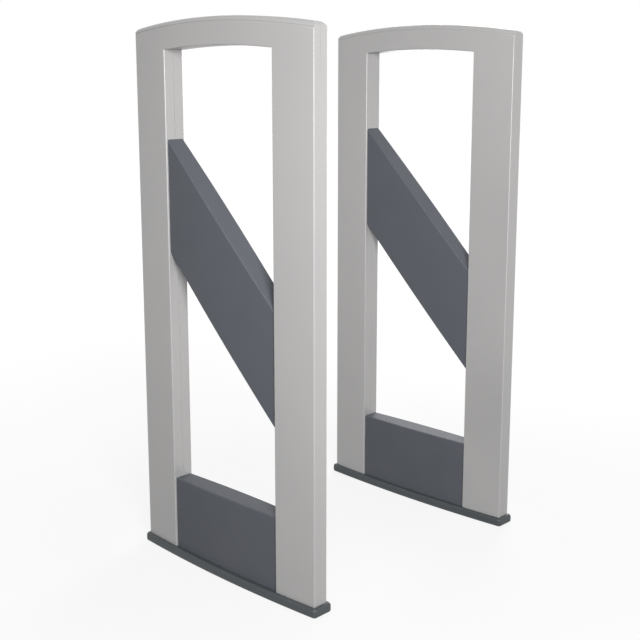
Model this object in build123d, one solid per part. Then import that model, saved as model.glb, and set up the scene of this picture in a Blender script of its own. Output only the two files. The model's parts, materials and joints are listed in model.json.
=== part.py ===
from build123d import *
import math
import os

# Security gate for a shop exit: two identical aerial pedestals that face each other across an aisle.
# Millimetres. +X along a pedestal's width, +Y across the aisle, +Z up from the floor.
# The origin is on the floor, midway between the two pedestals.

# Overall sizes of one pedestal and of the pair
OVERALL_HEIGHT = 1650.0  # floor to the crown of the arched header
PEDESTAL_WIDTH = 748.0  # along X, over the silver housing
PEDESTAL_SPACING = 884.0  # centre to centre across the aisle
END_THICKNESS = 49.5  # housing thickness at its two narrow edges
MID_THICKNESS = 80.0  # housing thickness at mid width, where both faces bulge
ARCH_RISE = 26.5  # crown above the housing's top corners
COLUMN_WIDTH = 147.0
HEADER_DEPTH = 79.0  # crown of the header down to the crown of the window
PLAN_CORNER = 7.0  # rounding of the four tall outer edges
ELEVATION_CORNER = 15.5  # rounding of the two top corners

# Plinth, kick box and diagonal panel
PLINTH_HEIGHT = 27.0
PLINTH_OVERHANG = 12.0
PLINTH_EDGE = 6.0  # rounded upper edge of the plinth
PLINTH_LEDGE = 11.0  # how far the plinth's top reaches under the housing
PLINTH_LEDGE_CORNER = 2.0
KICK_HEIGHT = 225.0
PANEL_RECESS = 6.5  # dark panels sit this far behind the silver faces
DIAGONAL_ANGLE = 45.0  # falls towards +X
DIAGONAL_WIDTH = 239.0  # across the band

# Walls and clearances
SHELL_WALL = 3.0
PANEL_WALL = 2.5
SEAM_GAP = 0.3  # between the front and rear housing halves
PANEL_GAP = 0.2  # fixed panels to the columns
COVER_GAP = 0.5  # lift-off cover to all that it slides past
SLOT_MARGIN = 20.0  # edge of a pass-through slot inside the diagonal that hides it
SLOT_BOTTOM = 30.0  # above the plinth, behind the kick box
SLOT_TOP = 25.0  # below the kick box's top
SLOT_HALF_DEPTH = 23.0
CUT_MARGIN = 1.0  # a cut past the wall that it goes through
REACH = 200.0  # half size of cutting tools across the thickness

# Base frame and rails
BASE_THICKNESS = 8.0
BASE_GAP = 1.0  # base plate to the plinth moulding
BASE_CORNER = 3.0
ANCHOR_SPACING_X = 390.0
ANCHOR_SPACING_Y = 30.0
ANCHOR_RADIUS = 5.5
RAIL_WIDTH = 40.0
RAIL_DEPTH = 24.0
RAIL_WALL = 2.5
RAIL_OFFSET = 13.0  # upright rail from the column's window face
STUB_HEIGHT = 120.0
STUB_CLEARANCE = 0.2
STUB_WALL = 2.5
HEADER_RAIL_HEIGHT = 25.0
HEADER_RAIL_LIFT = 7.0  # underside of the header rail above the window's crown
SPAR_WIDTH = 60.0
SPAR_DEPTH = 12.0

# Aerials: two flat copper loops that overlap inside the diagonal panel
STRIP_WIDTH = 15.0
STRIP_THICKNESS = 2.0
LOOP_CLEARANCE = 3.6  # strip to the inside of the housing, where that is thinnest
LOOP_EDGE = 44.0  # strip centre in from the housing's narrow edge
LOOP_BAND_EDGE = 28.0  # strip centre inside the diagonal panel's edge
LOOP_BOTTOM_LIFT = 48.0  # lowest strip centre above the plinth
LOOP_TOP_LIFT = 26.0  # highest strip centre above the window's crown
FEED_GAP = 10.0
CLIP_OVERHANG = 4.5  # nylon clip past the strip's edge
CLIP_HEIGHT = 12.0
CLIP_ROWS = 4
CLIP_MARGIN = 173.0  # first and last row from the plinth and the top corner

# Tuner boards and their trimmers
BOARD_THICKNESS = 1.6
BOARD_LENGTH = 80.0
BOARD_WIDTH = 50.0
LOWER_BOARD_X = 130.0
BOARD_EDGE = 22.0  # strip centre to the board's nearer long edge
BOARD_SOCKET_Z = -15.0  # lead socket on the lower board, across the strip
BOARD_SOCKET_INSET = 2.0  # lead socket from the board's short edge
TRIMMER_X = 20.0  # trimmer from the feed gap, along the strip
TRIMMER_Z = 18.0  # and across it
STATOR_RADIUS = 8.0
STATOR_HEIGHT = 3.0
STATOR_FLOOR = 0.8
ROTOR_RADIUS = 5.0
ROTOR_HEIGHT = 2.0
ROTOR_LIFT = 0.3
ROTOR_SHAFT_RADIUS = 1.5
ROTOR_SHAFT_LENGTH = 2.0
ROTOR_SLOT_LENGTH = 8.0
ROTOR_SLOT_WIDTH = 1.0
ROTOR_SLOT_DEPTH = 0.8
CHIP_STARTS = (-22.0, -14.0, -6.0, 3.0)  # along the strip, from the feed gap
CHIP_WIDTH = 5.0
CHIP_LENGTH = 12.0
CHIP_HEIGHT = 2.0
SHAFT_CLEARANCE = 0.05

# Screws
SCREW_RADIUS = 2.0
SCREW_HEAD_RADIUS = 3.7
SCREW_HEAD_HEIGHT = 2.6
SCREW_FIT = 0.05  # shank in its tapped boss
SCREW_PASS = 0.3  # shank in a clearance hole
HEAD_FIT = 0.4
SOCKET_SHARE = 0.45  # of the head's radius
SOCKET_DEPTH_SHARE = 0.6  # of the head's height
SHELL_BOSS_RADIUS = 5.5
SHELL_BOSS_INSET = 19.0  # boss centre in from the housing's narrow edge
SHELL_SEAT = 5.0  # depth of the screw head's counterbore
SHELL_SCREW_ROWS = 5
SHELL_SCREW_REACH = 14.0  # past the seam into the front half
SHELL_SCREW_RELIEF = 1.0  # tapped hole past the screw's end
HEADER_BOSS_X = 130.0
HEADER_BOSS_DROP = 25.0
SHELL_SCREW_BOTTOM = 93.0  # lowest row above the plinth
SHELL_SCREW_TOP = 83.0  # highest row below the top corner
PANEL_SEAT = 0.8
BOSS_GAP = 0.5  # boss tip to the curved lid or cover in front of it
PANEL_BOSS_RADIUS = 6.0
LID_BOSS_U = 200.0
LID_BOSS_V = 60.0
PANEL_SCREW_LENGTH = 16.0
COVER_SCREW_LENGTH = 14.0
BOSS_ROOT = 1.0  # a boss starts this deep in the front wall
COVER_BOSS_INSET = 22.0  # from the window's side
COVER_BOSS_BOTTOM = 28.0  # above the plinth
COVER_BOSS_TOP = 27.0  # below the kick box's top
COVER_HEAD_RADIUS = 5.0
COVER_HEAD_HEIGHT = 3.5
VENT_COUNT = 7
VENT_PITCH = 11.0
VENT_LENGTH = 120.0
VENT_WIDTH = 4.0

# Cable entry
GROMMET_X = 30.0
GROMMET_Y = 6.0
GROMMET_BORE = 9.0
GROMMET_NECK = 12.0
GROMMET_FLANGE = 15.0
GROMMET_RISE = 3.0
LEAD_RADIUS = 2.5
LEAD_PLANE = 9.0
LOWER_LEAD_PLANE = -3.0
LEAD_BEND = 40.0
LOWER_LEAD_BEND = 18.0
LEAD_CLIP_WALL = 0.6
LEAD_CLIP_HEIGHT = 6.0
LEAD_CLIP_SHARES = (0.15, 0.6)  # of the lead's straight run above the kick box
SOCKET_SIZE = 10.0

# Equipment plate in the kick box
CHASSIS_LEFT = -170.0
CHASSIS_RIGHT = 85.0
CHASSIS_THICKNESS = 2.0
CHASSIS_FACE = -11.0  # mounting face, towards the service cover
CHASSIS_FOOT = 22.0
CHASSIS_FOOT_LENGTH = 60.0
CHASSIS_SECOND_FOOT = -70.0
BRACKET_MARGIN = 4.0  # inlet bracket above the module's bezel
UNIT_LIFT = 103.0  # reader and splitter above the plinth
READER_WIDTH = 145.0
READER_HEIGHT = 105.0
READER_DEPTH = 28.0
READER_RIBS = 9
SPLITTER_WIDTH = 80.0
SPLITTER_HEIGHT = 60.0
SPLITTER_DEPTH = 28.0
SPLITTER_RIBS = 4
CASE_CHAMFER = 3.0
RIB_SIDE_MARGIN = 10.0
RIB_END_MARGIN = 8.0
RIB_GROOVE_WIDTH = 4.0
RIB_GROOVE_DEPTH = 4.0
PORT_RADIUS = 4.5
PORT_LENGTH = 12.0
UPPER_PORT_LIFT = 50.0  # above the unit's underside
LOWER_PORT_INSET = 35.0  # from the unit's right side
SUPPLY_WIDTH = 99.0
SUPPLY_HEIGHT = 82.0
SUPPLY_DEPTH = 30.0
SUPPLY_RIGHT = -66.0
SUPPLY_LIFT = 113.0
TERMINAL_LENGTH = 60.0
TERMINAL_HEIGHT = 10.0
TERMINAL_DEPTH = 16.0
TERMINAL_COUNT = 5
TERMINAL_SCREW_RADIUS = 2.5
TERMINAL_SCREW_DEPTH = 5.0
SOUNDER_X = 15.0
SOUNDER_LIFT = 75.0
SOUNDER_RADIUS = 14.0
SOUNDER_HEIGHT = 14.0
SOUND_HOLE_RADIUS = 3.0
SOUND_HOLE_DEPTH = 4.0

# Mains inlet module, which faces +X on its own bracket
INLET_FACE_X = -55.0
INLET_BEZEL = 3.0
INLET_BODY_DEPTH = 32.0
INLET_WIDTH = 32.0
INLET_HEIGHT = 72.0
INLET_RIM = 2.0
INLET_LIFT = 2.0  # module's lower edge above the plinth
INLET_Y = 7.0
SOCKET_LIFT = 15.0  # centres above the module's lower edge
DRAWER_LIFT = 32.0
ROCKER_LIFT = 53.0
SOCKET_WIDTH = 24.0
SOCKET_HEIGHT = 18.0
SOCKET_DEPTH = 16.0
PIN_LENGTH = 10.5
PIN_THICKNESS = 2.0
PIN_BREADTH = 4.0
PIN_PITCH = 7.0
PIN_STAGGER = 2.0  # middle blade above the outer two's line, they as far below it
DRAWER_WIDTH = 16.0
DRAWER_HEIGHT = 8.0
DRAWER_DEPTH = 20.0
DRAWER_CLEARANCE = 0.4
DRAWER_LIP = 1.5
DRAWER_WELL_END = 1.0  # well behind the closed drawer
DRAWER_BACK_WALL = 3.0
DRAWER_FRONT_WALL = 4.0
DRAWER_SIDE_WALL = 2.0
DRAWER_FLOOR = 2.5
ROCKER_WIDTH = 15.0
ROCKER_HEIGHT = 20.0
ROCKER_CLEARANCE = 1.0
ROCKER_SIDE_CLEARANCE = 0.5
ROCKER_CREST = 3.2  # ends of the rocker's face above its pivot
ROCKER_DIP = 1.6  # middle of its face above its pivot
ROCKER_TAPER = 2.0
ROCKER_PIN_END_GAP = 0.2
ROCKER_DEPTH = 5.0
ROCKER_TILT = 7.0  # at rest, the lower half is pressed in
ROCKER_PIVOT_DEPTH = 3.0
ROCKER_PIN_RADIUS = 1.2
ROCKER_PIN_LENGTH = 1.5
WIRE_RADIUS = 1.2
WIRE_PITCH = 6.0
MAINS_WIRE_LIFT = 4.0  # off the equipment plate
MAINS_WIRE_BOTTOM = 20.0  # lowest wire above the module's lower edge
MAINS_WIRE_RUN = 12.0  # from the module's back to the nearest upright run
MAINS_WIRE_BEND = 5.0
DC_WIRE_LIFT = 8.0
DC_WIRE_INSET = 6.0  # first wire from the terminal strip's end
DC_WIRE_ENTRY = 12.0  # first wire from the reader's side
DC_WIRE_DROP = 12.0  # below the terminal strip
DC_WIRE_BEND = 4.5

# Worked out from the sizes above
HALF_WIDTH = PEDESTAL_WIDTH / 2
HALF_END = END_THICKNESS / 2
HALF_MID = MID_THICKNESS / 2
WINDOW_HALF = HALF_WIDTH - COLUMN_WIDTH
ARCH_RADIUS = (HALF_WIDTH**2 + ARCH_RISE**2) / (2 * ARCH_RISE)
ARCH_CENTRE_Z = OVERALL_HEIGHT - ARCH_RADIUS
FACE_BULGE = HALF_MID - HALF_END
FACE_RADIUS = (HALF_WIDTH**2 + FACE_BULGE**2) / (2 * FACE_BULGE)
KICK_TOP = PLINTH_HEIGHT + KICK_HEIGHT
WINDOW_CROWN = OVERALL_HEIGHT - HEADER_DEPTH
WINDOW_CORNER_Z = ARCH_CENTRE_Z + math.sqrt((ARCH_RADIUS - HEADER_DEPTH) ** 2 - WINDOW_HALF**2)
HEADER_CORNER_Z = OVERALL_HEIGHT - ARCH_RISE
BAND_CENTRE_Z = (KICK_TOP + WINDOW_CORNER_Z) / 2
BAND_COS = math.cos(math.radians(DIAGONAL_ANGLE))
BAND_SLOPE = math.tan(math.radians(DIAGONAL_ANGLE))
BAND_HALF_RISE = DIAGONAL_WIDTH / 2 / BAND_COS  # half the band's height on a vertical line
BAND = Pos(0, 0, BAND_CENTRE_Z) * Rot(0, DIAGONAL_ANGLE, 0)  # X along the band, Z across it
RAIL_X = WINDOW_HALF + RAIL_OFFSET + RAIL_WIDTH / 2
RAIL_TOP = WINDOW_CROWN + HEADER_RAIL_LIFT
LEAD_X = WINDOW_HALF + (RAIL_OFFSET + SHELL_WALL) / 2  # midway between column wall and upright
LOOP_X = HALF_WIDTH - LOOP_EDGE
LOOP_V = DIAGONAL_WIDTH / 2 - LOOP_BAND_EDGE
LOOP_TOP = WINDOW_CROWN + LOOP_TOP_LIFT
LOOP_BOTTOM = PLINTH_HEIGHT + LOOP_BOTTOM_LIFT
LOOP_OUTER_X = LOOP_X + STRIP_WIDTH / 2
LOOP_FACE_DROP = FACE_RADIUS - math.sqrt(FACE_RADIUS**2 - LOOP_OUTER_X**2)
STRIP_OUTER = HALF_MID - LOOP_FACE_DROP - SHELL_WALL - LOOP_CLEARANCE
STRIP_INNER = STRIP_OUTER - STRIP_THICKNESS
LOOP_PLANE = (STRIP_OUTER + STRIP_INNER) / 2  # strip centre in front of and behind the mid plane
LOWER_SOCKET_X = LOWER_BOARD_X - BOARD_LENGTH / 2 + BOARD_SOCKET_INSET
LOWER_SOCKET_Z = LOOP_BOTTOM + BOARD_SOCKET_Z
UPPER_SOCKET_U = SOCKET_SIZE / 2  # where the upper lead meets its socket, along the band
UPPER_SOCKET_V = TRIMMER_Z - LOOP_V  # and across it
LEAD_CORNER_Z = BAND_CENTRE_Z + UPPER_SOCKET_V / BAND_COS - BAND_SLOPE * LEAD_X
UNIT_BOTTOM = PLINTH_HEIGHT + UNIT_LIFT
LOWER_LEAD_X = CHASSIS_RIGHT - LOWER_PORT_INSET
UPPER_PORT_Z = UNIT_BOTTOM + UPPER_PORT_LIFT
SUPPLY_BOTTOM = PLINTH_HEIGHT + SUPPLY_LIFT
INLET_BOTTOM = PLINTH_HEIGHT + INLET_LIFT
TERMINAL_BOTTOM = SUPPLY_BOTTOM - TERMINAL_HEIGHT
SOCKET_Z = INLET_BOTTOM + SOCKET_LIFT
DRAWER_Z = INLET_BOTTOM + DRAWER_LIFT
ROCKER_Z = INLET_BOTTOM + ROCKER_LIFT


def half_depth(x):
    """Half the housing's thickness at a distance x from mid width."""
    return HALF_MID - (FACE_RADIUS - math.sqrt(FACE_RADIUS**2 - x**2))


def block(x0, x1, y0, y1, z0, z1):
    """A box between two corners."""
    size = Box(x1 - x0, y1 - y0, z1 - z0)
    return Pos((x0 + x1) / 2, (y0 + y1) / 2, (z0 + z1) / 2) * size


def rod_y(x, z, radius, y0, y1):
    """A round bar along Y."""
    bar = Rot(90, 0, 0) * Cylinder(radius, y1 - y0)
    return Pos(x, (y0 + y1) / 2, z) * bar


def upright_prism(face):
    """Extrudes an outline drawn in X and Z through the whole thickness."""
    return extrude(Plane.XZ * face, amount=REACH, both=True)


def lens_plan(grow, corner):
    """The pedestal's plan, grown by a margin: straight ends joined by two shallow arcs."""
    half, end, mid = HALF_WIDTH + grow, HALF_END + grow, HALF_MID + grow
    outline = [
        Line((half, -end), (half, end)),
        ThreePointArc((half, end), (0, mid), (-half, end)),
        Line((-half, end), (-half, -end)),
        ThreePointArc((-half, -end), (0, -mid), (half, -end)),
    ]
    face = make_face(outline)
    return fillet(face.vertices(), corner)


def plan_between(front_inset, rear_inset):
    """A plan between the front and rear faces moved inwards; None leaves that side open."""
    half = HALF_WIDTH
    if front_inset is None:
        front = [Line((-half, -REACH), (half, -REACH))]
        front_end = -REACH
    else:
        front_end = front_inset - HALF_END
        front = [ThreePointArc((-half, front_end), (0, front_inset - HALF_MID), (half, front_end))]
    if rear_inset is None:
        rear = [Line((half, REACH), (-half, REACH))]
        rear_end = REACH
    else:
        rear_end = HALF_END - rear_inset
        rear = [ThreePointArc((half, rear_end), (0, HALF_MID - rear_inset), (-half, rear_end))]
    right = Line((half, front_end), (half, rear_end))
    left = Line((-half, rear_end), (-half, front_end))
    face = make_face(front + [right] + rear + [left])
    return extrude(face, amount=OVERALL_HEIGHT)


def arch_prism(half, drop, bottom, corner=0.0):
    """An upright outline with an arched top that is concentric with the header's."""
    radius = ARCH_RADIUS - drop
    side = ARCH_CENTRE_Z + math.sqrt(radius**2 - half**2)
    crown = ARCH_CENTRE_Z + radius
    outline = [
        Line((-half, bottom), (half, bottom)),
        Line((half, bottom), (half, side)),
        ThreePointArc((half, side), (0, crown), (-half, side)),
        Line((-half, side), (-half, bottom)),
    ]
    face = make_face(outline)
    if corner:
        face = fillet(face.vertices().group_by(Axis.Y)[-1], corner)
    return upright_prism(face)


def housing_solid(inset, bottom):
    """The silver housing's outer form, moved inwards by inset, without its window."""
    plan = extrude(lens_plan(-inset, PLAN_CORNER - inset), amount=OVERALL_HEIGHT)
    return plan & arch_prism(HALF_WIDTH - inset, inset, bottom, ELEVATION_CORNER - inset)


def window_prism(grow):
    """The housing's opening, grown by a margin and open at the bottom."""
    return arch_prism(WINDOW_HALF + grow, HEADER_DEPTH - grow, -REACH)


def band_prism(trim, half):
    """The diagonal band, narrowed by trim on both edges, as wide as 2 half."""
    rise = BAND_HALF_RISE - trim / BAND_COS
    left = BAND_CENTRE_Z + BAND_SLOPE * half
    right = BAND_CENTRE_Z - BAND_SLOPE * half
    corners = [(-half, left - rise), (half, right - rise), (half, right + rise), (-half, left + rise)]
    return upright_prism(make_face(Polyline(*corners, close=True)))


def screw(x, z, seat, length, head_radius=SCREW_HEAD_RADIUS, head_height=SCREW_HEAD_HEIGHT):
    """A screw along Y with its head towards +Y, seated at y = seat, with a hexagon socket."""
    body = rod_y(x, z, SCREW_RADIUS, seat - length, seat)
    head = rod_y(x, z, head_radius, seat, seat + head_height)
    hexagon = Plane.XZ * RegularPolygon(head_radius * SOCKET_SHARE, 6)
    depth = head_height * SOCKET_DEPTH_SHARE
    socket = Pos(x, seat + head_height - depth, z) * extrude(hexagon, amount=-depth)
    return body + head - socket


def shell_screw_places():
    """Where screws join the two housing halves: five up each column and two in the header."""
    low = PLINTH_HEIGHT + SHELL_SCREW_BOTTOM
    high = HEADER_CORNER_Z - SHELL_SCREW_TOP
    step = (high - low) / (SHELL_SCREW_ROWS - 1)
    side = HALF_WIDTH - SHELL_BOSS_INSET
    places = [(s * side, low + row * step) for s in (-1, 1) for row in range(SHELL_SCREW_ROWS)]
    header_z = OVERALL_HEIGHT - HEADER_BOSS_DROP
    return places + [(-HEADER_BOSS_X, header_z), (HEADER_BOSS_X, header_z)]


def lid_screw_places():
    """Where screws hold the diagonal lid, in X and Z."""
    places = []
    for u in (-LID_BOSS_U, LID_BOSS_U):
        for v in (-LID_BOSS_V, LID_BOSS_V):
            spot = (BAND * Pos(u, 0, v)).position
            places.append((spot.X, spot.Z))
    return places


def cover_screw_places():
    """Where captive screws hold the service cover, in X and Z."""
    x = WINDOW_HALF - COVER_BOSS_INSET
    rows = (PLINTH_HEIGHT + COVER_BOSS_BOTTOM, KICK_TOP - COVER_BOSS_TOP)
    return [(s * x, z) for s in (-1, 1) for z in rows]


def side_slots():
    """Openings in the columns' window faces, behind the panels, for aerials, spar and leads."""
    x0, x1 = WINDOW_HALF - CUT_MARGIN, WINDOW_HALF + SHELL_WALL + CUT_MARGIN
    depth = SLOT_HALF_DEPTH
    slots = []
    for side in (-1, 1):
        xs = sorted((side * x0, side * x1))
        middle = BAND_CENTRE_Z - side * BAND_SLOPE * WINDOW_HALF
        reach = BAND_HALF_RISE - SLOT_MARGIN
        slots.append(block(*xs, -depth, depth, middle - reach, middle + reach))
        slots.append(block(*xs, -depth, depth, PLINTH_HEIGHT + SLOT_BOTTOM, KICK_TOP - SLOT_TOP))
    return slots


def make_shells():
    """The two silver housing halves, each an upside-down U with an arched top."""
    body = housing_solid(0, PLINTH_HEIGHT) - window_prism(0)
    hollow = housing_solid(SHELL_WALL, 0) - window_prism(SHELL_WALL)
    shell = body - hollow
    for slot in side_slots():
        shell -= slot
    half_gap = SEAM_GAP / 2
    front_side = block(-PEDESTAL_WIDTH, PEDESTAL_WIDTH, -REACH, -half_gap, 0, OVERALL_HEIGHT)
    rear_side = block(-PEDESTAL_WIDTH, PEDESTAL_WIDTH, half_gap, REACH, 0, OVERALL_HEIGHT)
    front, rear = shell & front_side, shell & rear_side
    places = shell_screw_places()
    posts = [rod_y(x, z, SHELL_BOSS_RADIUS, -HALF_MID, HALF_MID) for x, z in places]
    solid = housing_solid(SHELL_WALL / 2, PLINTH_HEIGHT)
    for post in posts:
        front += post & solid & front_side
        rear += post & solid & rear_side
    for x, z in places:
        seat = half_depth(x) - SHELL_SEAT
        front -= rod_y(x, z, SCREW_RADIUS + SCREW_FIT, -SHELL_SCREW_REACH - SHELL_SCREW_RELIEF, 0)
        rear -= rod_y(x, z, SCREW_RADIUS + SCREW_PASS, 0, HALF_MID)
        rear -= rod_y(x, z, SCREW_HEAD_RADIUS + HEAD_FIT, seat, HALF_MID)
    return front, rear


def make_shell_screws():
    """Screws of the housing and of the diagonal lid."""
    screws = []
    for x, z in shell_screw_places():
        seat = half_depth(x) - SHELL_SEAT
        screws.append(screw(x, z, seat, seat + SHELL_SCREW_REACH))
    for x, z in lid_screw_places():
        seat = half_depth(x) - PANEL_RECESS - PANEL_SEAT
        screws.append(screw(x, z, seat, PANEL_SCREW_LENGTH))
    return screws


def make_diagonal():
    """The diagonal panel: a tray with the front face and both edges, and a lid at the rear."""
    half = WINDOW_HALF - PANEL_GAP
    form = plan_between(PANEL_RECESS, PANEL_RECESS)
    cavity = band_prism(PANEL_WALL, HALF_WIDTH) & plan_between(PANEL_RECESS + PANEL_WALL, None)
    outer = band_prism(0, half) & form
    tray = outer - cavity
    lid = band_prism(PANEL_WALL + PANEL_GAP, half) & form
    lid -= plan_between(None, PANEL_RECESS + PANEL_WALL)
    behind_front = plan_between(PANEL_RECESS + BOSS_ROOT, None)
    for x, z in lid_screw_places():
        surface = half_depth(x) - PANEL_RECESS
        top = surface - PANEL_WALL - BOSS_GAP
        tray += rod_y(x, z, PANEL_BOSS_RADIUS, -HALF_MID, top) & behind_front
        tray -= rod_y(x, z, SCREW_RADIUS + SCREW_FIT, top - PANEL_SCREW_LENGTH, top)
        lid -= rod_y(x, z, SCREW_RADIUS + SCREW_PASS, 0, HALF_MID)
        lid -= rod_y(x, z, SCREW_HEAD_RADIUS + HEAD_FIT, surface - PANEL_SEAT, HALF_MID)
    return tray, lid


def make_kick_box():
    """The kick box: a fixed panel with the front face and top, and the lift-off service cover."""
    form = plan_between(PANEL_RECESS, PANEL_RECESS)
    half = WINDOW_HALF - PANEL_GAP
    inside = plan_between(PANEL_RECESS + PANEL_WALL, None)
    panel = block(-half, half, -REACH, REACH, PLINTH_HEIGHT, KICK_TOP) & form
    panel -= block(-HALF_WIDTH, HALF_WIDTH, -REACH, REACH, 0, KICK_TOP - PANEL_WALL) & inside
    half = WINDOW_HALF - COVER_GAP
    bottom, top = PLINTH_HEIGHT + COVER_GAP, KICK_TOP - PANEL_WALL - COVER_GAP
    cover = block(-half, half, -REACH, REACH, bottom, top) & form
    cover -= plan_between(None, PANEL_RECESS + PANEL_WALL)
    behind_front = plan_between(PANEL_RECESS + BOSS_ROOT, None)
    for x, z in cover_screw_places():
        surface = half_depth(x) - PANEL_RECESS
        tip = surface - PANEL_WALL - BOSS_GAP
        post = rod_y(x, z, PANEL_BOSS_RADIUS, -HALF_MID, tip) & behind_front
        panel += post - rod_y(x, z, SCREW_RADIUS + SCREW_PASS, tip - PANEL_SCREW_LENGTH, tip)
        cover -= rod_y(x, z, SCREW_RADIUS + SCREW_FIT, 0, HALF_MID)
        cover -= rod_y(x, z, COVER_HEAD_RADIUS + HEAD_FIT, surface - PANEL_SEAT, HALF_MID)
    middle = (bottom + top) / 2
    for row in range(VENT_COUNT):
        z = middle + (row - (VENT_COUNT - 1) / 2) * VENT_PITCH
        low, high = z - VENT_WIDTH / 2, z + VENT_WIDTH / 2
        cover -= block(-VENT_LENGTH / 2, VENT_LENGTH / 2, 0, REACH, low, high)
    return panel, cover


def make_cover_screws():
    """Captive screws that stay in the service cover."""
    screws = []
    for x, z in cover_screw_places():
        seat = half_depth(x) - PANEL_RECESS - PANEL_SEAT
        screws.append(screw(x, z, seat, COVER_SCREW_LENGTH, COVER_HEAD_RADIUS, COVER_HEAD_HEIGHT))
    return screws


def make_plinth():
    """The plinth moulding: a low rounded rim that covers the base plate's edge."""
    rim = extrude(lens_plan(PLINTH_OVERHANG, PLAN_CORNER), amount=PLINTH_HEIGHT)
    rim = fillet(rim.faces().sort_by(Axis.Z)[-1].edges(), PLINTH_EDGE)
    inner = PLINTH_OVERHANG - SHELL_WALL
    rim -= extrude(lens_plan(inner, PLAN_CORNER - SHELL_WALL), amount=PLINTH_HEIGHT - SHELL_WALL)
    return rim - extrude(lens_plan(-PLINTH_LEDGE, PLINTH_LEDGE_CORNER), amount=PLINTH_HEIGHT)


def make_base():
    """The steel base plate with its anchor holes and two welded stub posts."""
    grow = PLINTH_OVERHANG - SHELL_WALL - BASE_GAP
    plate = extrude(lens_plan(grow, BASE_CORNER), amount=BASE_THICKNESS)
    for sx in (-0.5, 0.5):
        for sy in (-0.5, 0.5):
            spot = Pos(sx * ANCHOR_SPACING_X, sy * ANCHOR_SPACING_Y, BASE_THICKNESS / 2)
            plate -= spot * Cylinder(ANCHOR_RADIUS, BASE_THICKNESS)
    plate -= Pos(GROMMET_X, GROMMET_Y, BASE_THICKNESS / 2) * Cylinder(GROMMET_NECK, BASE_THICKNESS)
    inner = 2 * (RAIL_WALL + STUB_CLEARANCE)
    width, depth = RAIL_WIDTH - inner, RAIL_DEPTH - inner
    for side in (-1, 1):
        middle = Pos(side * RAIL_X, 0, BASE_THICKNESS + STUB_HEIGHT / 2)
        bore = Box(width - 2 * STUB_WALL, depth - 2 * STUB_WALL, STUB_HEIGHT)
        plate += middle * (Box(width, depth, STUB_HEIGHT) - bore)
    return plate


def make_grommet():
    """The rubber grommet that lines the cable entry; its rim lies on the base plate."""
    neck = Pos(0, 0, BASE_THICKNESS / 2) * Cylinder(GROMMET_NECK, BASE_THICKNESS)
    flange = Pos(0, 0, BASE_THICKNESS + GROMMET_RISE / 2) * Cylinder(GROMMET_FLANGE, GROMMET_RISE)
    body = neck + flange - Cylinder(GROMMET_BORE, 4 * BASE_THICKNESS)
    return Pos(GROMMET_X, GROMMET_Y, 0) * body


def make_upright(side):
    """A hollow glass-fibre rail that sleeves over a stub post and carries the header rail."""
    height = RAIL_TOP - BASE_THICKNESS
    bore = Box(RAIL_WIDTH - 2 * RAIL_WALL, RAIL_DEPTH - 2 * RAIL_WALL, height)
    return Pos(side * RAIL_X, 0, BASE_THICKNESS + height / 2) * (Box(RAIL_WIDTH, RAIL_DEPTH, height) - bore)


def make_header_rail():
    """The hollow cross rail on top of the two uprights."""
    length = 2 * RAIL_X + RAIL_WIDTH
    bore = Box(length, RAIL_DEPTH - 2 * RAIL_WALL, HEADER_RAIL_HEIGHT - 2 * RAIL_WALL)
    rail = Box(length, RAIL_DEPTH, HEADER_RAIL_HEIGHT) - bore
    return Pos(0, 0, RAIL_TOP + HEADER_RAIL_HEIGHT / 2) * rail


def make_spar():
    """The flat bar between the uprights, inside the diagonal panel."""
    half = RAIL_X - RAIL_WIDTH / 2
    trim = (DIAGONAL_WIDTH - SPAR_WIDTH) / 2
    return band_prism(trim, half) & block(-half, half, -SPAR_DEPTH / 2, SPAR_DEPTH / 2, 0, OVERALL_HEIGHT)


def make_loop(corners, side, cut):
    """A flat copper loop through its corners in X and Z, with a feed gap cut out."""
    face = make_face(Polyline(*corners, close=True))
    ring = offset(face, STRIP_WIDTH / 2) - offset(face, -STRIP_WIDTH / 2)
    strip = extrude(Plane.XZ * ring, amount=STRIP_THICKNESS / 2, both=True)
    return Pos(0, side * LOOP_PLANE, 0) * strip - cut


def make_upper_loop():
    """The aerial round the upper window, behind the mid plane."""
    drop = -LOOP_V / BAND_COS
    left = BAND_CENTRE_Z + drop + BAND_SLOPE * LOOP_X
    right = BAND_CENTRE_Z + drop - BAND_SLOPE * LOOP_X
    corners = [(-LOOP_X, left), (LOOP_X, right), (LOOP_X, LOOP_TOP), (-LOOP_X, LOOP_TOP)]
    gap = Box(FEED_GAP, REACH, STRIP_WIDTH * 2)
    return make_loop(corners, 1, BAND * Pos(0, 0, -LOOP_V) * gap)


def make_lower_loop():
    """The aerial round the lower window, in front of the mid plane."""
    lift = LOOP_V / BAND_COS
    left = BAND_CENTRE_Z + lift + BAND_SLOPE * LOOP_X
    right = BAND_CENTRE_Z + lift - BAND_SLOPE * LOOP_X
    corners = [(-LOOP_X, LOOP_BOTTOM), (LOOP_X, LOOP_BOTTOM), (LOOP_X, right), (-LOOP_X, left)]
    gap = Box(FEED_GAP, REACH, STRIP_WIDTH * 2)
    return make_loop(corners, -1, Pos(LOWER_BOARD_X, 0, LOOP_BOTTOM) * gap)


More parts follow.
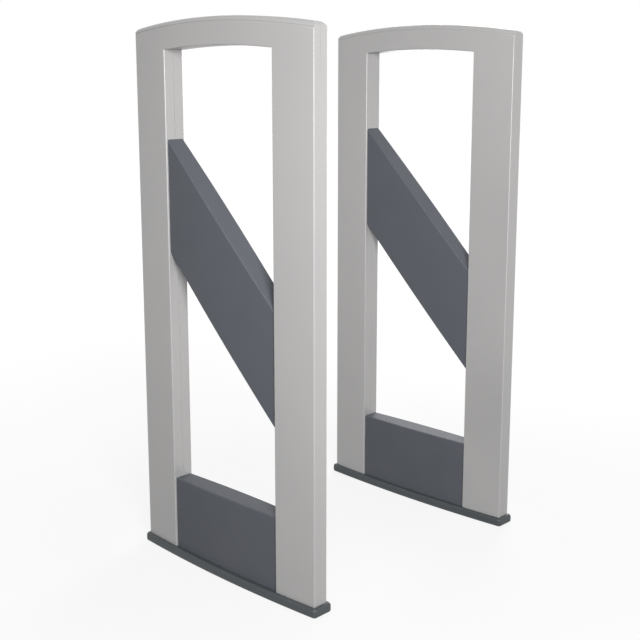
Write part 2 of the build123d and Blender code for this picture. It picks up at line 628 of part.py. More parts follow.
def make_clips():
    """Nylon blocks that hold the copper strips off the uprights, and the lead's small clips."""
    low, high = PLINTH_HEIGHT + CLIP_MARGIN, HEADER_CORNER_Z - CLIP_MARGIN
    x0, x1 = RAIL_X + RAIL_WIDTH / 2, LOOP_OUTER_X + CLIP_OVERHANG
    clips = []
    for row in range(CLIP_ROWS):
        z = low + row * (high - low) / (CLIP_ROWS - 1)
        for side in (-1, 1):
            xs = sorted((side * x0, side * x1))
            clips.append(block(*xs, -STRIP_INNER, STRIP_INNER, z - CLIP_HEIGHT / 2, z + CLIP_HEIGHT / 2))
    grip = LEAD_RADIUS + LEAD_CLIP_WALL
    y0, y1 = LEAD_PLANE - grip, LEAD_PLANE + grip
    bore = Cylinder(LEAD_RADIUS + SHAFT_CLEARANCE, 2 * LEAD_CLIP_HEIGHT)
    for share in LEAD_CLIP_SHARES:
        z = KICK_TOP + share * (LEAD_CORNER_Z - LEAD_BEND - KICK_TOP)
        low, high = z - LEAD_CLIP_HEIGHT / 2, z + LEAD_CLIP_HEIGHT / 2
        body = block(LEAD_X - grip, RAIL_X - RAIL_WIDTH / 2, y0, y1, low, high)
        clips.append(body - Pos(LEAD_X, LEAD_PLANE, z) * bore)
    return clips


def tuner_parts():
    """A tuner board, centred on the feed gap: along X and Z, its component side at y = 0 towards +Y."""
    half = BOARD_LENGTH / 2
    board = block(-half, half, -BOARD_THICKNESS, 0, -BOARD_EDGE, BOARD_WIDTH - BOARD_EDGE)
    stator = rod_y(TRIMMER_X, TRIMMER_Z, STATOR_RADIUS, 0, STATOR_HEIGHT)
    bore = ROTOR_SHAFT_RADIUS + SHAFT_CLEARANCE
    stator -= rod_y(TRIMMER_X, TRIMMER_Z, bore, STATOR_FLOOR, STATOR_HEIGHT)
    low, high = TRIMMER_Z - CHIP_LENGTH / 2, TRIMMER_Z + CHIP_LENGTH / 2
    chips = [block(x, x + CHIP_WIDTH, 0, CHIP_HEIGHT, low, high) for x in CHIP_STARTS]
    return [board, stator] + chips


def trimmer_rotor():
    """A trimmer's turning half: a slotted disc on a short shaft, along Y."""
    base = STATOR_HEIGHT + ROTOR_LIFT
    top = base + ROTOR_HEIGHT
    disc = rod_y(TRIMMER_X, TRIMMER_Z, ROTOR_RADIUS, base, top)
    shaft = rod_y(TRIMMER_X, TRIMMER_Z, ROTOR_SHAFT_RADIUS, base - ROTOR_SHAFT_LENGTH, base)
    slot = Box(ROTOR_SLOT_LENGTH, 2 * ROTOR_SLOT_DEPTH, ROTOR_SLOT_WIDTH)
    return disc + shaft - Pos(TRIMMER_X, top, TRIMMER_Z) * slot


def make_tuners():
    """Both tuner boards with their soldered parts, and both trimmer rotors."""
    upper_place = BAND * Pos(0, STRIP_INNER, -LOOP_V)
    lower_face = BOARD_THICKNESS - STRIP_INNER
    lower_place = Pos(LOWER_BOARD_X, lower_face, LOOP_BOTTOM)
    half = SOCKET_SIZE / 2
    u, v = UPPER_SOCKET_U, UPPER_SOCKET_V
    board_back = STRIP_INNER - BOARD_THICKNESS
    upper_socket = BAND * block(u - SOCKET_SIZE, u, LEAD_PLANE - half, board_back, v - half, v + half)
    x, z = LOWER_SOCKET_X, LOWER_SOCKET_Z
    lower_socket = block(x, x + SOCKET_SIZE, lower_face, LOWER_LEAD_PLANE + half, z - half, z + half)
    upper = [upper_place * piece for piece in tuner_parts()] + [upper_socket]
    lower = [lower_place * piece for piece in tuner_parts()] + [lower_socket]
    return upper, lower, upper_place * trimmer_rotor(), lower_place * trimmer_rotor()


def tube_along(points, radii, radius):
    """A round lead along straight runs that tangent arcs join."""
    path = FilletPolyline(*points, radius=radii)
    section = Plane(origin=path @ 0, z_dir=path % 0) * Circle(radius)
    return sweep(section, path=path)


def make_leads():
    """Two screened leads, from the unit in the kick box to the two tuner boards."""
    end = (BAND * Pos(UPPER_SOCKET_U, 0, UPPER_SOCKET_V)).position
    upper_points = [
        (CHASSIS_RIGHT + PORT_LENGTH, LEAD_PLANE, UPPER_PORT_Z),
        (LEAD_X, LEAD_PLANE, UPPER_PORT_Z),
        (LEAD_X, LEAD_PLANE, LEAD_CORNER_Z),
        (end.X, LEAD_PLANE, end.Z),
    ]
    lower_points = [
        (LOWER_LEAD_X, LOWER_LEAD_PLANE, UNIT_BOTTOM - PORT_LENGTH),
        (LOWER_LEAD_X, LOWER_LEAD_PLANE, LOWER_SOCKET_Z),
        (LOWER_SOCKET_X, LOWER_LEAD_PLANE, LOWER_SOCKET_Z),
    ]
    upper = tube_along(upper_points, LEAD_BEND, LEAD_RADIUS)
    lower = tube_along(lower_points, LOWER_LEAD_BEND, LEAD_RADIUS)
    return [upper, lower]


def make_chassis(with_inlet):
    """The folded equipment plate that stands on the base, with the inlet's bracket if it has one."""
    back = CHASSIS_FACE - CHASSIS_THICKNESS
    top = UNIT_BOTTOM + READER_HEIGHT
    plate = block(CHASSIS_LEFT, CHASSIS_RIGHT, back, CHASSIS_FACE, BASE_THICKNESS, top)
    foot_end, foot_top = CHASSIS_FACE + CHASSIS_FOOT, BASE_THICKNESS + CHASSIS_THICKNESS
    for x in (CHASSIS_LEFT, CHASSIS_SECOND_FOOT):
        plate += block(x, x + CHASSIS_FOOT_LENGTH, CHASSIS_FACE, foot_end, BASE_THICKNESS, foot_top)
    if with_inlet:
        face = INLET_FACE_X - INLET_BEZEL
        inner = INLET_WIDTH / 2 - INLET_RIM + PANEL_GAP
        back, end = face - CHASSIS_THICKNESS, INLET_Y + INLET_WIDTH / 2
        low, high = INLET_BOTTOM, INLET_BOTTOM + INLET_HEIGHT
        foot = low - INLET_LIFT / 2
        bracket = block(back, face, CHASSIS_FACE, end, foot, high + BRACKET_MARGIN)
        rim = INLET_RIM - PANEL_GAP
        plate += bracket - block(back, face, INLET_Y - inner, INLET_Y + inner, low + rim, high - rim)
    return plate


def make_ports():
    """The two coaxial ports of the reader or splitter: one to the right, one downwards."""
    right = Rot(0, 90, 0) * Cylinder(PORT_RADIUS, PORT_LENGTH)
    down = Cylinder(PORT_RADIUS, PORT_LENGTH)
    return [
        Pos(CHASSIS_RIGHT + PORT_LENGTH / 2, LEAD_PLANE, UPPER_PORT_Z) * right,
        Pos(LOWER_LEAD_X, LOWER_LEAD_PLANE, UNIT_BOTTOM - PORT_LENGTH / 2) * down,
    ]


def ribbed_case(width, height, depth, ribs):
    """A cast case against the equipment plate, with cooling ribs on its face."""
    x0, x1 = CHASSIS_RIGHT - width, CHASSIS_RIGHT
    face = CHASSIS_FACE + depth
    case = block(x0, x1, CHASSIS_FACE, face, UNIT_BOTTOM, UNIT_BOTTOM + height)
    case = chamfer(case.edges().filter_by(Axis.Y), CASE_CHAMFER)
    pitch = (width - 2 * RIB_SIDE_MARGIN) / ribs
    half = RIB_GROOVE_WIDTH / 2
    low, high = UNIT_BOTTOM + RIB_END_MARGIN, UNIT_BOTTOM + height - RIB_END_MARGIN
    for rib in range(ribs):
        x = x0 + RIB_SIDE_MARGIN + (rib + 0.5) * pitch
        case -= block(x - half, x + half, face - RIB_GROOVE_DEPTH, face, low, high)
    return case


def make_supply():
    """The power supply's case, and its terminal strip below it."""
    x1, x0 = SUPPLY_RIGHT, SUPPLY_RIGHT - SUPPLY_WIDTH
    top = SUPPLY_BOTTOM + SUPPLY_HEIGHT
    case = block(x0, x1, CHASSIS_FACE, CHASSIS_FACE + SUPPLY_DEPTH, SUPPLY_BOTTOM, top)
    left, face = x1 - TERMINAL_LENGTH, CHASSIS_FACE + TERMINAL_DEPTH
    strip = block(left, x1, CHASSIS_FACE, face, TERMINAL_BOTTOM, SUPPLY_BOTTOM)
    middle = (TERMINAL_BOTTOM + SUPPLY_BOTTOM) / 2
    for n in range(TERMINAL_COUNT):
        x = left + (n + 0.5) * TERMINAL_LENGTH / TERMINAL_COUNT
        strip -= rod_y(x, middle, TERMINAL_SCREW_RADIUS, face - TERMINAL_SCREW_DEPTH, face)
    return case, strip


def inlet_block(x0, x1, half_width, low, high):
    """A box centred on the inlet module's middle line."""
    return block(x0, x1, INLET_Y - half_width, INLET_Y + half_width, low, high)


def make_inlet():
    """The mains inlet: bezel, body, plug socket with three blades, and wells for drawer and rocker."""
    face, back = INLET_FACE_X, INLET_FACE_X - INLET_BEZEL
    top = INLET_BOTTOM + INLET_HEIGHT
    body = inlet_block(back, face, INLET_WIDTH / 2, INLET_BOTTOM, top)
    low, high = INLET_BOTTOM + INLET_RIM, top - INLET_RIM
    body += inlet_block(back - INLET_BODY_DEPTH, back, INLET_WIDTH / 2 - INLET_RIM, low, high)
    floor = face - SOCKET_DEPTH
    reach = SOCKET_HEIGHT / 2
    body -= inlet_block(floor, face, SOCKET_WIDTH / 2, SOCKET_Z - reach, SOCKET_Z + reach)
    blade = Box(PIN_LENGTH, PIN_THICKNESS, PIN_BREADTH)
    for n in (-1, 0, 1):
        z = SOCKET_Z + (PIN_STAGGER if n == 0 else -PIN_STAGGER)
        body += Pos(floor + PIN_LENGTH / 2, INLET_Y + n * PIN_PITCH, z) * blade
    width, reach = DRAWER_WIDTH / 2 + DRAWER_CLEARANCE, DRAWER_HEIGHT / 2 + DRAWER_CLEARANCE
    well_end = face - DRAWER_DEPTH - DRAWER_WELL_END
    body -= inlet_block(well_end, face, width, DRAWER_Z - reach, DRAWER_Z + reach)
    width, reach = ROCKER_WIDTH / 2 + ROCKER_SIDE_CLEARANCE, ROCKER_HEIGHT / 2 + ROCKER_CLEARANCE
    body -= inlet_block(face - 2 * ROCKER_DEPTH, face, width, ROCKER_Z - reach, ROCKER_Z + reach)
    bore = width + ROCKER_PIN_LENGTH
    radius = ROCKER_PIN_RADIUS + SHAFT_CLEARANCE
    return body - rod_y(face - ROCKER_PIVOT_DEPTH, ROCKER_Z, radius, INLET_Y - bore, INLET_Y + bore)


def make_fuse_drawer():
    """The fuse drawer, which pulls out towards +X, with a lip for a fingernail."""
    width, reach = DRAWER_WIDTH / 2, DRAWER_HEIGHT / 2
    back, front = INLET_FACE_X - DRAWER_DEPTH, INLET_FACE_X + DRAWER_LIP
    drawer = inlet_block(back, front, width, DRAWER_Z - reach, DRAWER_Z + reach)
    low, high = DRAWER_Z - reach + DRAWER_FLOOR, DRAWER_Z + reach
    x0, x1 = back + DRAWER_BACK_WALL, INLET_FACE_X - DRAWER_FRONT_WALL
    return drawer - inlet_block(x0, x1, width - DRAWER_SIDE_WALL, low, high)


def make_rocker():
    """The mains rocker, tilted to its off position, on a pivot along Y."""
    half = ROCKER_HEIGHT / 2
    lower = [(-ROCKER_DEPTH, ROCKER_TAPER - half), (0, -half), (ROCKER_CREST, -half)]
    upper = [(x, -z) for x, z in reversed(lower)]
    face = make_face(Polyline(*lower, (ROCKER_DIP, 0), *upper, close=True))
    body = extrude(Plane.XZ * face, amount=ROCKER_WIDTH / 2, both=True)
    pin = ROCKER_WIDTH / 2 + ROCKER_SIDE_CLEARANCE + ROCKER_PIN_LENGTH - ROCKER_PIN_END_GAP
    body += rod_y(0, 0, ROCKER_PIN_RADIUS, -pin, pin)
    return Pos(INLET_FACE_X - ROCKER_PIVOT_DEPTH, INLET_Y, ROCKER_Z) * Rot(0, ROCKER_TILT, 0) * body


def make_sounder():
    """The round alarm sounder with its sound hole."""
    z = PLINTH_HEIGHT + SOUNDER_LIFT
    top = CHASSIS_FACE + SOUNDER_HEIGHT
    body = rod_y(SOUNDER_X, z, SOUNDER_RADIUS, CHASSIS_FACE, top)
    return body - rod_y(SOUNDER_X, z, SOUND_HOLE_RADIUS, top - SOUND_HOLE_DEPTH, top)


def make_mains_wires():
    """Three insulated wires from the inlet up to the power supply's terminals."""
    start = INLET_FACE_X - INLET_BEZEL - INLET_BODY_DEPTH
    wires = []
    for n in range(3):
        y = CHASSIS_FACE + MAINS_WIRE_LIFT
        z = INLET_BOTTOM + MAINS_WIRE_BOTTOM + n * 2 * WIRE_PITCH
        x = start - MAINS_WIRE_RUN - (2 - n) * WIRE_PITCH
        points = [(start, y, z), (x, y, z), (x, y, TERMINAL_BOTTOM)]
        wires.append(tube_along(points, MAINS_WIRE_BEND, WIRE_RADIUS))
    return wires


def make_dc_wires():
    """Two low-voltage wires from the power supply's terminals to the reader's underside."""
    wires = []
    for n in range(2):
        y = CHASSIS_FACE + DC_WIRE_LIFT
        x0 = SUPPLY_RIGHT - DC_WIRE_INSET - n * WIRE_PITCH
        x1 = CHASSIS_RIGHT - READER_WIDTH + DC_WIRE_ENTRY + n * WIRE_PITCH
        z = TERMINAL_BOTTOM - DC_WIRE_DROP - n * WIRE_PITCH / 2
        points = [(x0, y, TERMINAL_BOTTOM), (x0, y, z), (x1, y, z), (x1, y, UNIT_BOTTOM)]
        wires.append(tube_along(points, DC_WIRE_BEND, WIRE_RADIUS))
    return wires


def pedestal_parts():
    """The sub-parts that both pedestals have, by name, about the pedestal's own centre."""
    front, rear = make_shells()
    tray, lid = make_diagonal()
    panel, cover = make_kick_box()
    upper_board, lower_board, upper_rotor, lower_rotor = make_tuners()
    return {
        "front_shell": front,
        "rear_shell": rear,
        "diagonal_tray": tray,
        "diagonal_lid": lid,
        "kick_panel": panel,
        "service_cover": cover,
        "plinth_moulding": make_plinth(),
        "base_plate": make_base(),
        "left_upright": make_upright(-1),
        "right_upright": make_upright(1),
        "header_rail": make_header_rail(),
        "diagonal_spar": make_spar(),
        "upper_aerial": make_upper_loop(),
        "lower_aerial": make_lower_loop(),
        "nylon_clips": make_clips(),
        "upper_tuner": upper_board,
        "lower_tuner": lower_board,
        "upper_trimmer_rotor": upper_rotor,
        "lower_trimmer_rotor": lower_rotor,
        "shell_screws": make_shell_screws(),
        "cover_screws": make_cover_screws(),
        "cable_grommet": make_grommet(),
        "aerial_leads": make_leads(),
    }


def primary_parts():
    """What only the pedestal with the reader holds."""
    case, strip = make_supply()
    return {
        "chassis_plate": make_chassis(True),
        "reader_case": ribbed_case(READER_WIDTH, READER_HEIGHT, READER_DEPTH, READER_RIBS),
        "reader_ports": make_ports(),
        "power_supply": case,
        "supply_terminals": strip,
        "mains_inlet": make_inlet(),
        "fuse_drawer": make_fuse_drawer(),
        "mains_rocker": make_rocker(),
        "alarm_sounder": make_sounder(),
        "mains_wires": make_mains_wires(),
        "dc_wires": make_dc_wires(),
    }


def secondary_parts():
    """What only the pedestal with the signal splitter holds."""
    return {
        "chassis_plate": make_chassis(False),
        "splitter_case": ribbed_case(SPLITTER_WIDTH, SPLITTER_HEIGHT, SPLITTER_DEPTH, SPLITTER_RIBS),
        "splitter_ports": make_ports(),
    }


def write_part(name, shape, place):
    """Writes one sub-part, which may be a group of separate solids."""
    pieces = shape if isinstance(shape, list) else [shape]
    solids = [solid for piece in pieces for solid in (place * piece).solids()]
    moved = solids[0] if len(solids) == 1 else Compound(children=solids)
    export_step(moved, f"parts/{name}.step")


os.makedirs("parts", exist_ok=True)
shared = pedestal_parts()
pedestals = {
    "primary": (Pos(0, -PEDESTAL_SPACING / 2, 0), primary_parts()),
    "secondary": (Pos(0, PEDESTAL_SPACING / 2, 0), secondary_parts()),
}
for pedestal, (place, own) in pedestals.items():
    for part, shape in {**shared, **own}.items():
        write_part(f"{pedestal}_{part}", shape, place)
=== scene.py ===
import json
import math

import bmesh
import bpy
from bpy.props import FloatProperty, FloatVectorProperty, IntProperty, PointerProperty
from mathutils import Matrix, Vector


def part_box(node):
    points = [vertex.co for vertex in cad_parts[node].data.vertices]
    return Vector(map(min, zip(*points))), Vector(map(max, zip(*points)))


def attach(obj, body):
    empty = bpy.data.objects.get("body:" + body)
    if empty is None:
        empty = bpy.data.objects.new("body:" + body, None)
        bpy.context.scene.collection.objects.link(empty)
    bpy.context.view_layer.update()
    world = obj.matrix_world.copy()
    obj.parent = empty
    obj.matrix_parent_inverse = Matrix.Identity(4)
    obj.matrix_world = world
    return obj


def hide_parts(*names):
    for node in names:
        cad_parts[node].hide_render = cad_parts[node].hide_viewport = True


bl_info = {
    "name": "Security gate",
    "version": (1, 0, 0),
    "blender": (4, 5, 0),
    "location": "View3D > Sidebar > Gate",
    "description": "Builds the skins, screws, finishes and studio of a shop-exit security gate",
    "category": "Object",
}

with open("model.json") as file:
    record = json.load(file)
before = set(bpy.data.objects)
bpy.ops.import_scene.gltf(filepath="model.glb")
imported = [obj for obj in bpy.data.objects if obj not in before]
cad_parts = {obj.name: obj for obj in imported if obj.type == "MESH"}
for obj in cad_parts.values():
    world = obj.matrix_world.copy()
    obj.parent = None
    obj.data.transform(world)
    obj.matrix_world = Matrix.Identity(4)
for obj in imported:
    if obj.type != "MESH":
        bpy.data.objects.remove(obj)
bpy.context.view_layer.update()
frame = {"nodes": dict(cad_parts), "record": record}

# Metres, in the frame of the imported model: +X along a pedestal, +Y across the aisle, +Z up.
MM = 0.001
TINY = 0.02 * MM  # places closer than this count as one
PEDESTALS = ("primary", "secondary")
GATE_BODY = "gate"
SEAM_GAP = 0.3 * MM  # between the two housing halves
PANEL_GAP = 0.2 * MM  # between a dark panel and what it fits into
COVER_GAP = 0.5 * MM  # between the service cover and the window's sides
PLATE_SEAT = 0.8 * MM  # how deep a screw head sits in a lid or cover
SHARP_ANGLE = math.radians(35)  # edges that turn more than this are shaded as edges
ROD_SEGMENTS = 28

# Sizes read from the frame, about a pedestal's own centre
SHELL_LOW, SHELL_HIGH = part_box("primary_front_shell")
REAR_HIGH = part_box("primary_rear_shell")[1]
TRAY_LOW, TRAY_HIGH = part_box("primary_diagonal_tray")
COVER_LOW, COVER_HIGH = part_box("primary_service_cover")
HALF_WIDTH = SHELL_HIGH.x
HALF_MID = (REAR_HIGH.y - SHELL_LOW.y) / 2
CROWN = SHELL_HIGH.z
PLINTH_TOP = SHELL_LOW.z
KICK_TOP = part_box("primary_kick_panel")[1].z
PANEL_HALF = TRAY_HIGH.x
WINDOW_HALF = PANEL_HALF + PANEL_GAP
BAND_CENTRE = (TRAY_LOW.z + TRAY_HIGH.z) / 2
X_AXIS, Y_AXIS, Z_AXIS = Vector((1, 0, 0)), Vector((0, 1, 0)), Vector((0, 0, 1))


def centre_of(pedestal):
    """A pedestal's middle across the aisle."""
    low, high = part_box(f"{pedestal}_front_shell")[0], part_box(f"{pedestal}_rear_shell")[1]
    return (low.y + high.y) / 2


def linear(code):
    """An sRGB hex colour as linear red, green and blue."""
    channels = [int(code[start : start + 2], 16) / 255 for start in (1, 3, 5)]
    return [c / 12.92 if c <= 0.04045 else ((c + 0.055) / 1.055) ** 2.4 for c in channels]


def length(name, description, millimetres):
    """A length property, its default given in millimetres."""
    return FloatProperty(
        name=name, description=description, default=millimetres * MM, unit="LENGTH"
    )


def colour(name, description, code):
    """A colour property, its default given as an sRGB hex value."""
    return FloatVectorProperty(
        name=name, description=description, default=linear(code), subtype="COLOR", min=0, max=1
    )


class GateHousing(bpy.types.PropertyGroup):
    """Sizes of the two silver housings."""

    end_thickness: length("End thickness", "Housing thickness at its narrow edges", 49.5)
    arch_rise: length("Arch rise", "Crown above the top corners", 26.5)
    header_depth: length("Header depth", "Header's crown down to the window's crown", 79.0)
    corner: length("Top corner", "Rounding of the two top corners", 15.5)
    edge: length("Outer edge", "Rounding of the tall and top edges", 7.0)
    window_edge: length("Window edge", "Rounding of the window's edges", 3.2)
    wall: length("Wall", "Thickness of the moulded wall", 3.0)
    groove: length("Seam groove", "Depth of the groove along the seam, and half its width", 0.6)
    boss_inset: length("Boss inset", "Screw bosses in from the narrow edges", 19.0)
    boss_bottom: length("Lowest boss", "Lowest screw above the plinth", 93.0)
    boss_top: length("Highest boss", "Highest screw below the top corner", 83.0)
    boss_rows: IntProperty(name="Boss rows", description="Screws up each column", default=5, min=2)
    header_boss: length("Header boss", "Header screws from mid width", 130.0)
    header_drop: length("Header drop", "Header screws below the crown", 25.0)
    seat: length("Screw seat", "Depth of the counterbore that takes a screw head", 5.0)


class GatePanels(bpy.types.PropertyGroup):
    """Sizes of the dark panels between the columns."""

    recess: length("Recess", "Dark panels behind the silver faces", 6.5)
    wall: length("Wall", "Thickness of the dark panels", 2.5)
    edge: length("Edge", "Rounding of the panels' front edges", 4.5)
    plate_edge: length("Plate edge", "Rounding round the lid and the service cover", 0.8)
    lid_boss_along: length("Lid screws along", "Lid screws from the middle, along the band", 200.0)
    lid_boss_across: length("Lid screws across", "Lid screws from the middle, across it", 60.0)
    cover_inset: length("Cover screw inset", "Cover screws in from the window's sides", 22.0)
    cover_bottom: length("Cover screw bottom", "Lower cover screws above the plinth", 28.0)
    cover_top: length("Cover screw top", "Upper cover screws below the box's top", 27.0)
    vents: IntProperty(name="Vents", description="Number of vent slots", default=7, min=1)
    vent_pitch: length("Vent pitch", "Vent slots apart", 11.0)
    vent_length: length("Vent length", "Length of a vent slot", 120.0)
    vent_width: length("Vent width", "Width of a vent slot", 4.0)


class GatePlinth(bpy.types.PropertyGroup):
    """Sizes of the plinth mouldings."""

    wall: length("Wall", "Thickness of the plinth's wall and ledge", 3.0)
    nose: length("Upper rounding", "Rounding of the plinth's upper edge", 10.0)
    heel: length("Lower rounding", "Rounding of the plinth's lower edge", 6.0)
    corner: length("Corner", "Rounding of the plinth's four corners in plan", 12.0)
    ledge: length("Ledge", "How far the plinth's top reaches under the housing", 11.0)


class GateFinish(bpy.types.PropertyGroup):
    """Colours of the visible skins."""

    silver: colour("Silver lacquer", "Main tone of the housings", "#BCBAB9")
    silver_shade: colour("Silver lacquer shade", "Darker tone of the same lacquer", "#B4B3B3")
    charcoal: colour("Charcoal ABS", "Main tone of the dark panels", "#5D6067")
    charcoal_shade: colour("Charcoal ABS shade", "Darker tone of the same plastic", "#555960")
    plinth: colour("Plinth", "Main tone of the plinths", "#4B5053")
    plinth_shade: colour("Plinth shade", "Darker tone of the same plastic", "#42474A")


class GateStudio(bpy.types.PropertyGroup):
    """The camera, lamps and floor."""

    camera_place: FloatVectorProperty(
        name="Camera place", description="Where the camera stands", unit="LENGTH",
        default=(2.3737, -2.5025, 1.4997),
    )
    turn: FloatProperty(
        name="Turn", description="Camera turned left from +Y", subtype="ANGLE",
        default=math.radians(44.175),
    )
    tilt: FloatProperty(
        name="Tilt", description="Camera tilted down", subtype="ANGLE",
        default=math.radians(10.797),
    )
    lens: FloatProperty(
        name="Lens", description="Focal length in millimetres on a 36 mm wide sensor",
        default=62.011,
    )
    shift: FloatProperty(
        name="Shift", description="Upright lens shift, as a share of the width", default=-0.06
    )
    key_watts: FloatProperty(
        name="Key lamp", description="Power of the lamp in front in watts", default=46.0
    )
    rear_watts: FloatProperty(
        name="Rear lamp", description="Power of the lamp behind in watts", default=34.0
    )
    sky: FloatProperty(
        name="Sky", description="Strength of the even light from all round", default=0.27
    )
    floor_tone: colour("Floor", "Colour of the floor where it takes light and shadow", "#6C6C6C")


# ---------------------------------------------------------------- mesh tools


def face_from(points):
    """A mesh of one face through a few corner points."""
    bm = bmesh.new()
    bm.faces.new([bm.verts.new(point) for point in points])
    return bm


def extrude_all(bm, offset):
    """Gives a flat face its depth and turns every side outwards."""
    result = bmesh.ops.extrude_face_region(bm, geom=bm.faces[:])
    moved = [item for item in result["geom"] if isinstance(item, bmesh.types.BMVert)]
    bmesh.ops.translate(bm, vec=offset, verts=moved)
    bmesh.ops.recalc_face_normals(bm, faces=bm.faces[:])


def slab(corners, start, end):
    """An upright slab along Y from start to end, through corners in X and Z."""
    bm = face_from([(x, start, z) for x, z in corners])
    extrude_all(bm, Y_AXIS * (end - start))
    return bm


def upright_corners(half, low, high):
    """Corners in X and Z of an upright rectangle about mid width."""
    return [(-half, low), (-half, high), (half, high), (half, low)]


def edges_where(bm, test):
    """Edges whose two ends both pass a test of their place."""
    return [edge for edge in bm.edges if all(test(vert.co) for vert in edge.verts)]


def edges_along(bm, axis, least):
    """Edges whose two ends are more than a distance apart along an axis."""
    ends = [(edge, [vert.co for vert in edge.verts]) for edge in bm.edges]
    return [edge for edge, (one, other) in ends if abs((one - other).dot(axis)) > least]


def faces_where(bm, test):
    """Faces whose corners all pass a test of their place."""
    return [face for face in bm.faces if all(test(vert.co) for vert in face.verts)]


def round_edges(bm, edges, radius, segments):
    """Rounds edges to a radius."""
    bmesh.ops.bevel(
        bm, geom=edges, offset=radius, offset_type="OFFSET", affect="EDGES", segments=segments,
        profile=0.5, material=-1, clamp_overlap=True,
    )


def slice_faces(bm, faces, normal, places):
    """Cuts faces with planes at places along an axis, and returns the faces' pieces."""
    pieces = set(faces)
    for place in places:
        geom = list(pieces)
        geom += list({edge for face in pieces for edge in face.edges})
        geom += list({vert for face in pieces for vert in face.verts})
        result = bmesh.ops.bisect_plane(
            bm, geom=geom, dist=TINY / 10, plane_co=normal * place, plane_no=normal
        )
        pieces |= {item for item in result["geom"] if isinstance(item, bmesh.types.BMFace)}
    return [face for face in pieces if face.is_valid]


def steps(low, high, pitch):
    """Evenly spaced places strictly between two ends, about a pitch apart."""
    count = max(1, round((high - low) / pitch))
    return [low + (high - low) * n / count for n in range(1, count)]


def add_rod(bm, place, radius, start, end, segments=ROD_SEGMENTS):
    """Adds a closed round bar along Y at a place in X and Z."""
    middle = Matrix.Translation((place[0], (start + end) / 2, place[1]))
    bmesh.ops.create_cone(
        bm, cap_ends=True, segments=segments, radius1=radius, radius2=radius,
        depth=abs(end - start), matrix=middle @ Matrix.Rotation(math.radians(90), 4, "X"),
    )


def rods(places, radius, spans, segments=ROD_SEGMENTS):
    """A mesh of closed bars along Y, one at each place, with its own start and end."""
    bm = bmesh.new()
    for place, (start, end) in zip(places, spans):
        add_rod(bm, place, radius, start, end, segments)
    return bm


def carve(bm, cutter):
    """Cuts the closed forms of one mesh out of another."""
    objects = []
    for name, source in (("work", bm), ("cutter", cutter)):
        mesh = bpy.data.meshes.new(name)
        source.to_mesh(mesh)
        source.free()
        objects.append(bpy.data.objects.new(name, mesh))
        bpy.context.scene.collection.objects.link(objects[-1])
    work, tool = objects
    cut = work.modifiers.new("cut", "BOOLEAN")
    cut.operation, cut.solver, cut.object = "DIFFERENCE", "EXACT", tool
    graph = bpy.context.evaluated_depsgraph_get()
    result = bmesh.new()
    result.from_mesh(work.evaluated_get(graph).to_mesh())
    for obj in objects:
        bpy.data.meshes.remove(obj.data)
    return result


def join(bm, other):
    """Adds the forms of another mesh to a mesh."""
    mesh = bpy.data.meshes.new("joined")
    other.to_mesh(mesh)
    other.free()
    bm.from_mesh(mesh)
    bpy.data.meshes.remove(mesh)
    return bm


def finish_piece(name, bm, pedestal, body, material, nodes):
    """Moves a mesh to its pedestal and makes it a piece, in place of its CAD nodes."""
    bmesh.ops.translate(bm, vec=Y_AXIS * centre_of(pedestal), verts=bm.verts[:])
    mesh = bpy.data.meshes.new(name)
    bm.to_mesh(mesh)
    bm.free()
    mesh.shade_smooth()
    mesh.set_sharp_from_angle(angle=SHARP_ANGLE)
    mesh.materials.append(material)
    piece = bpy.data.objects.new(name, mesh)
    bpy.context.scene.collection.objects.link(piece)
    weighted = piece.modifiers.new("even shading", "WEIGHTED_NORMAL")
    weighted.keep_sharp = True
    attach(piece, body)
    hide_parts(*nodes)


# ---------------------------------------------------------------- the curved forms


def half_depth(x):
    """Half the housing's thickness at a distance x from mid width."""
    bulge = HALF_MID - bpy.context.scene.gate_housing.end_thickness / 2
    radius = (HALF_WIDTH**2 + bulge**2) / (2 * bulge)
    return HALF_MID - radius + math.sqrt(radius**2 - x**2)


def arch_drop(x, z):
    """How far an arch with its crown at z falls below it at a distance x from mid width."""
    rise = bpy.context.scene.gate_housing.arch_rise
    radius = (HALF_WIDTH**2 + rise**2) / (2 * rise) - (CROWN - z)
    return radius - math.sqrt(radius**2 - x**2)


def bow(bm, reach):
    """Bows flat faces to the housing's plan; what is nearer the mid plane than reach moves less."""
    for vert in bm.verts:
        x, y, _ = vert.co
        shift = HALF_MID - half_depth(x)
        vert.co.y -= math.copysign(shift * min(abs(y) / reach, 1), y)


def arch_header(bm, start, window_crown):
    """Bends what is above start into the header's arch, in full from the window's crown up."""
    for vert in bm.verts:
        share = min(max((vert.co.z - start) / (window_crown - start), 0), 1)
        vert.co.z -= share * arch_drop(vert.co.x, vert.co.z)


def band_half_rise():
    """Half the diagonal band's height on a vertical line; it falls at 45 degrees."""
    return (TRAY_HIGH.z - TRAY_LOW.z) / 2 - PANEL_HALF


def band_corners(trim=0):
    """Corners in X and Z of the diagonal band, narrowed by trim on both long edges."""
    rise = band_half_rise() - trim * math.sqrt(2)
    left, right = BAND_CENTRE + PANEL_HALF, BAND_CENTRE - PANEL_HALF
    return [
        (-PANEL_HALF, left - rise), (-PANEL_HALF, left + rise),
        (PANEL_HALF, right + rise), (PANEL_HALF, right - rise),
    ]


def shell_screw_places():
    """Where screws join the housing halves, in X and Z."""
    sizes = bpy.context.scene.gate_housing
    low = PLINTH_TOP + sizes.boss_bottom
    high = CROWN - sizes.arch_rise - sizes.boss_top
    pitch = (high - low) / (sizes.boss_rows - 1)
    side = HALF_WIDTH - sizes.boss_inset
    places = [(s * side, low + row * pitch) for s in (-1, 1) for row in range(sizes.boss_rows)]
    return places + [(s * sizes.header_boss, CROWN - sizes.header_drop) for s in (-1, 1)]


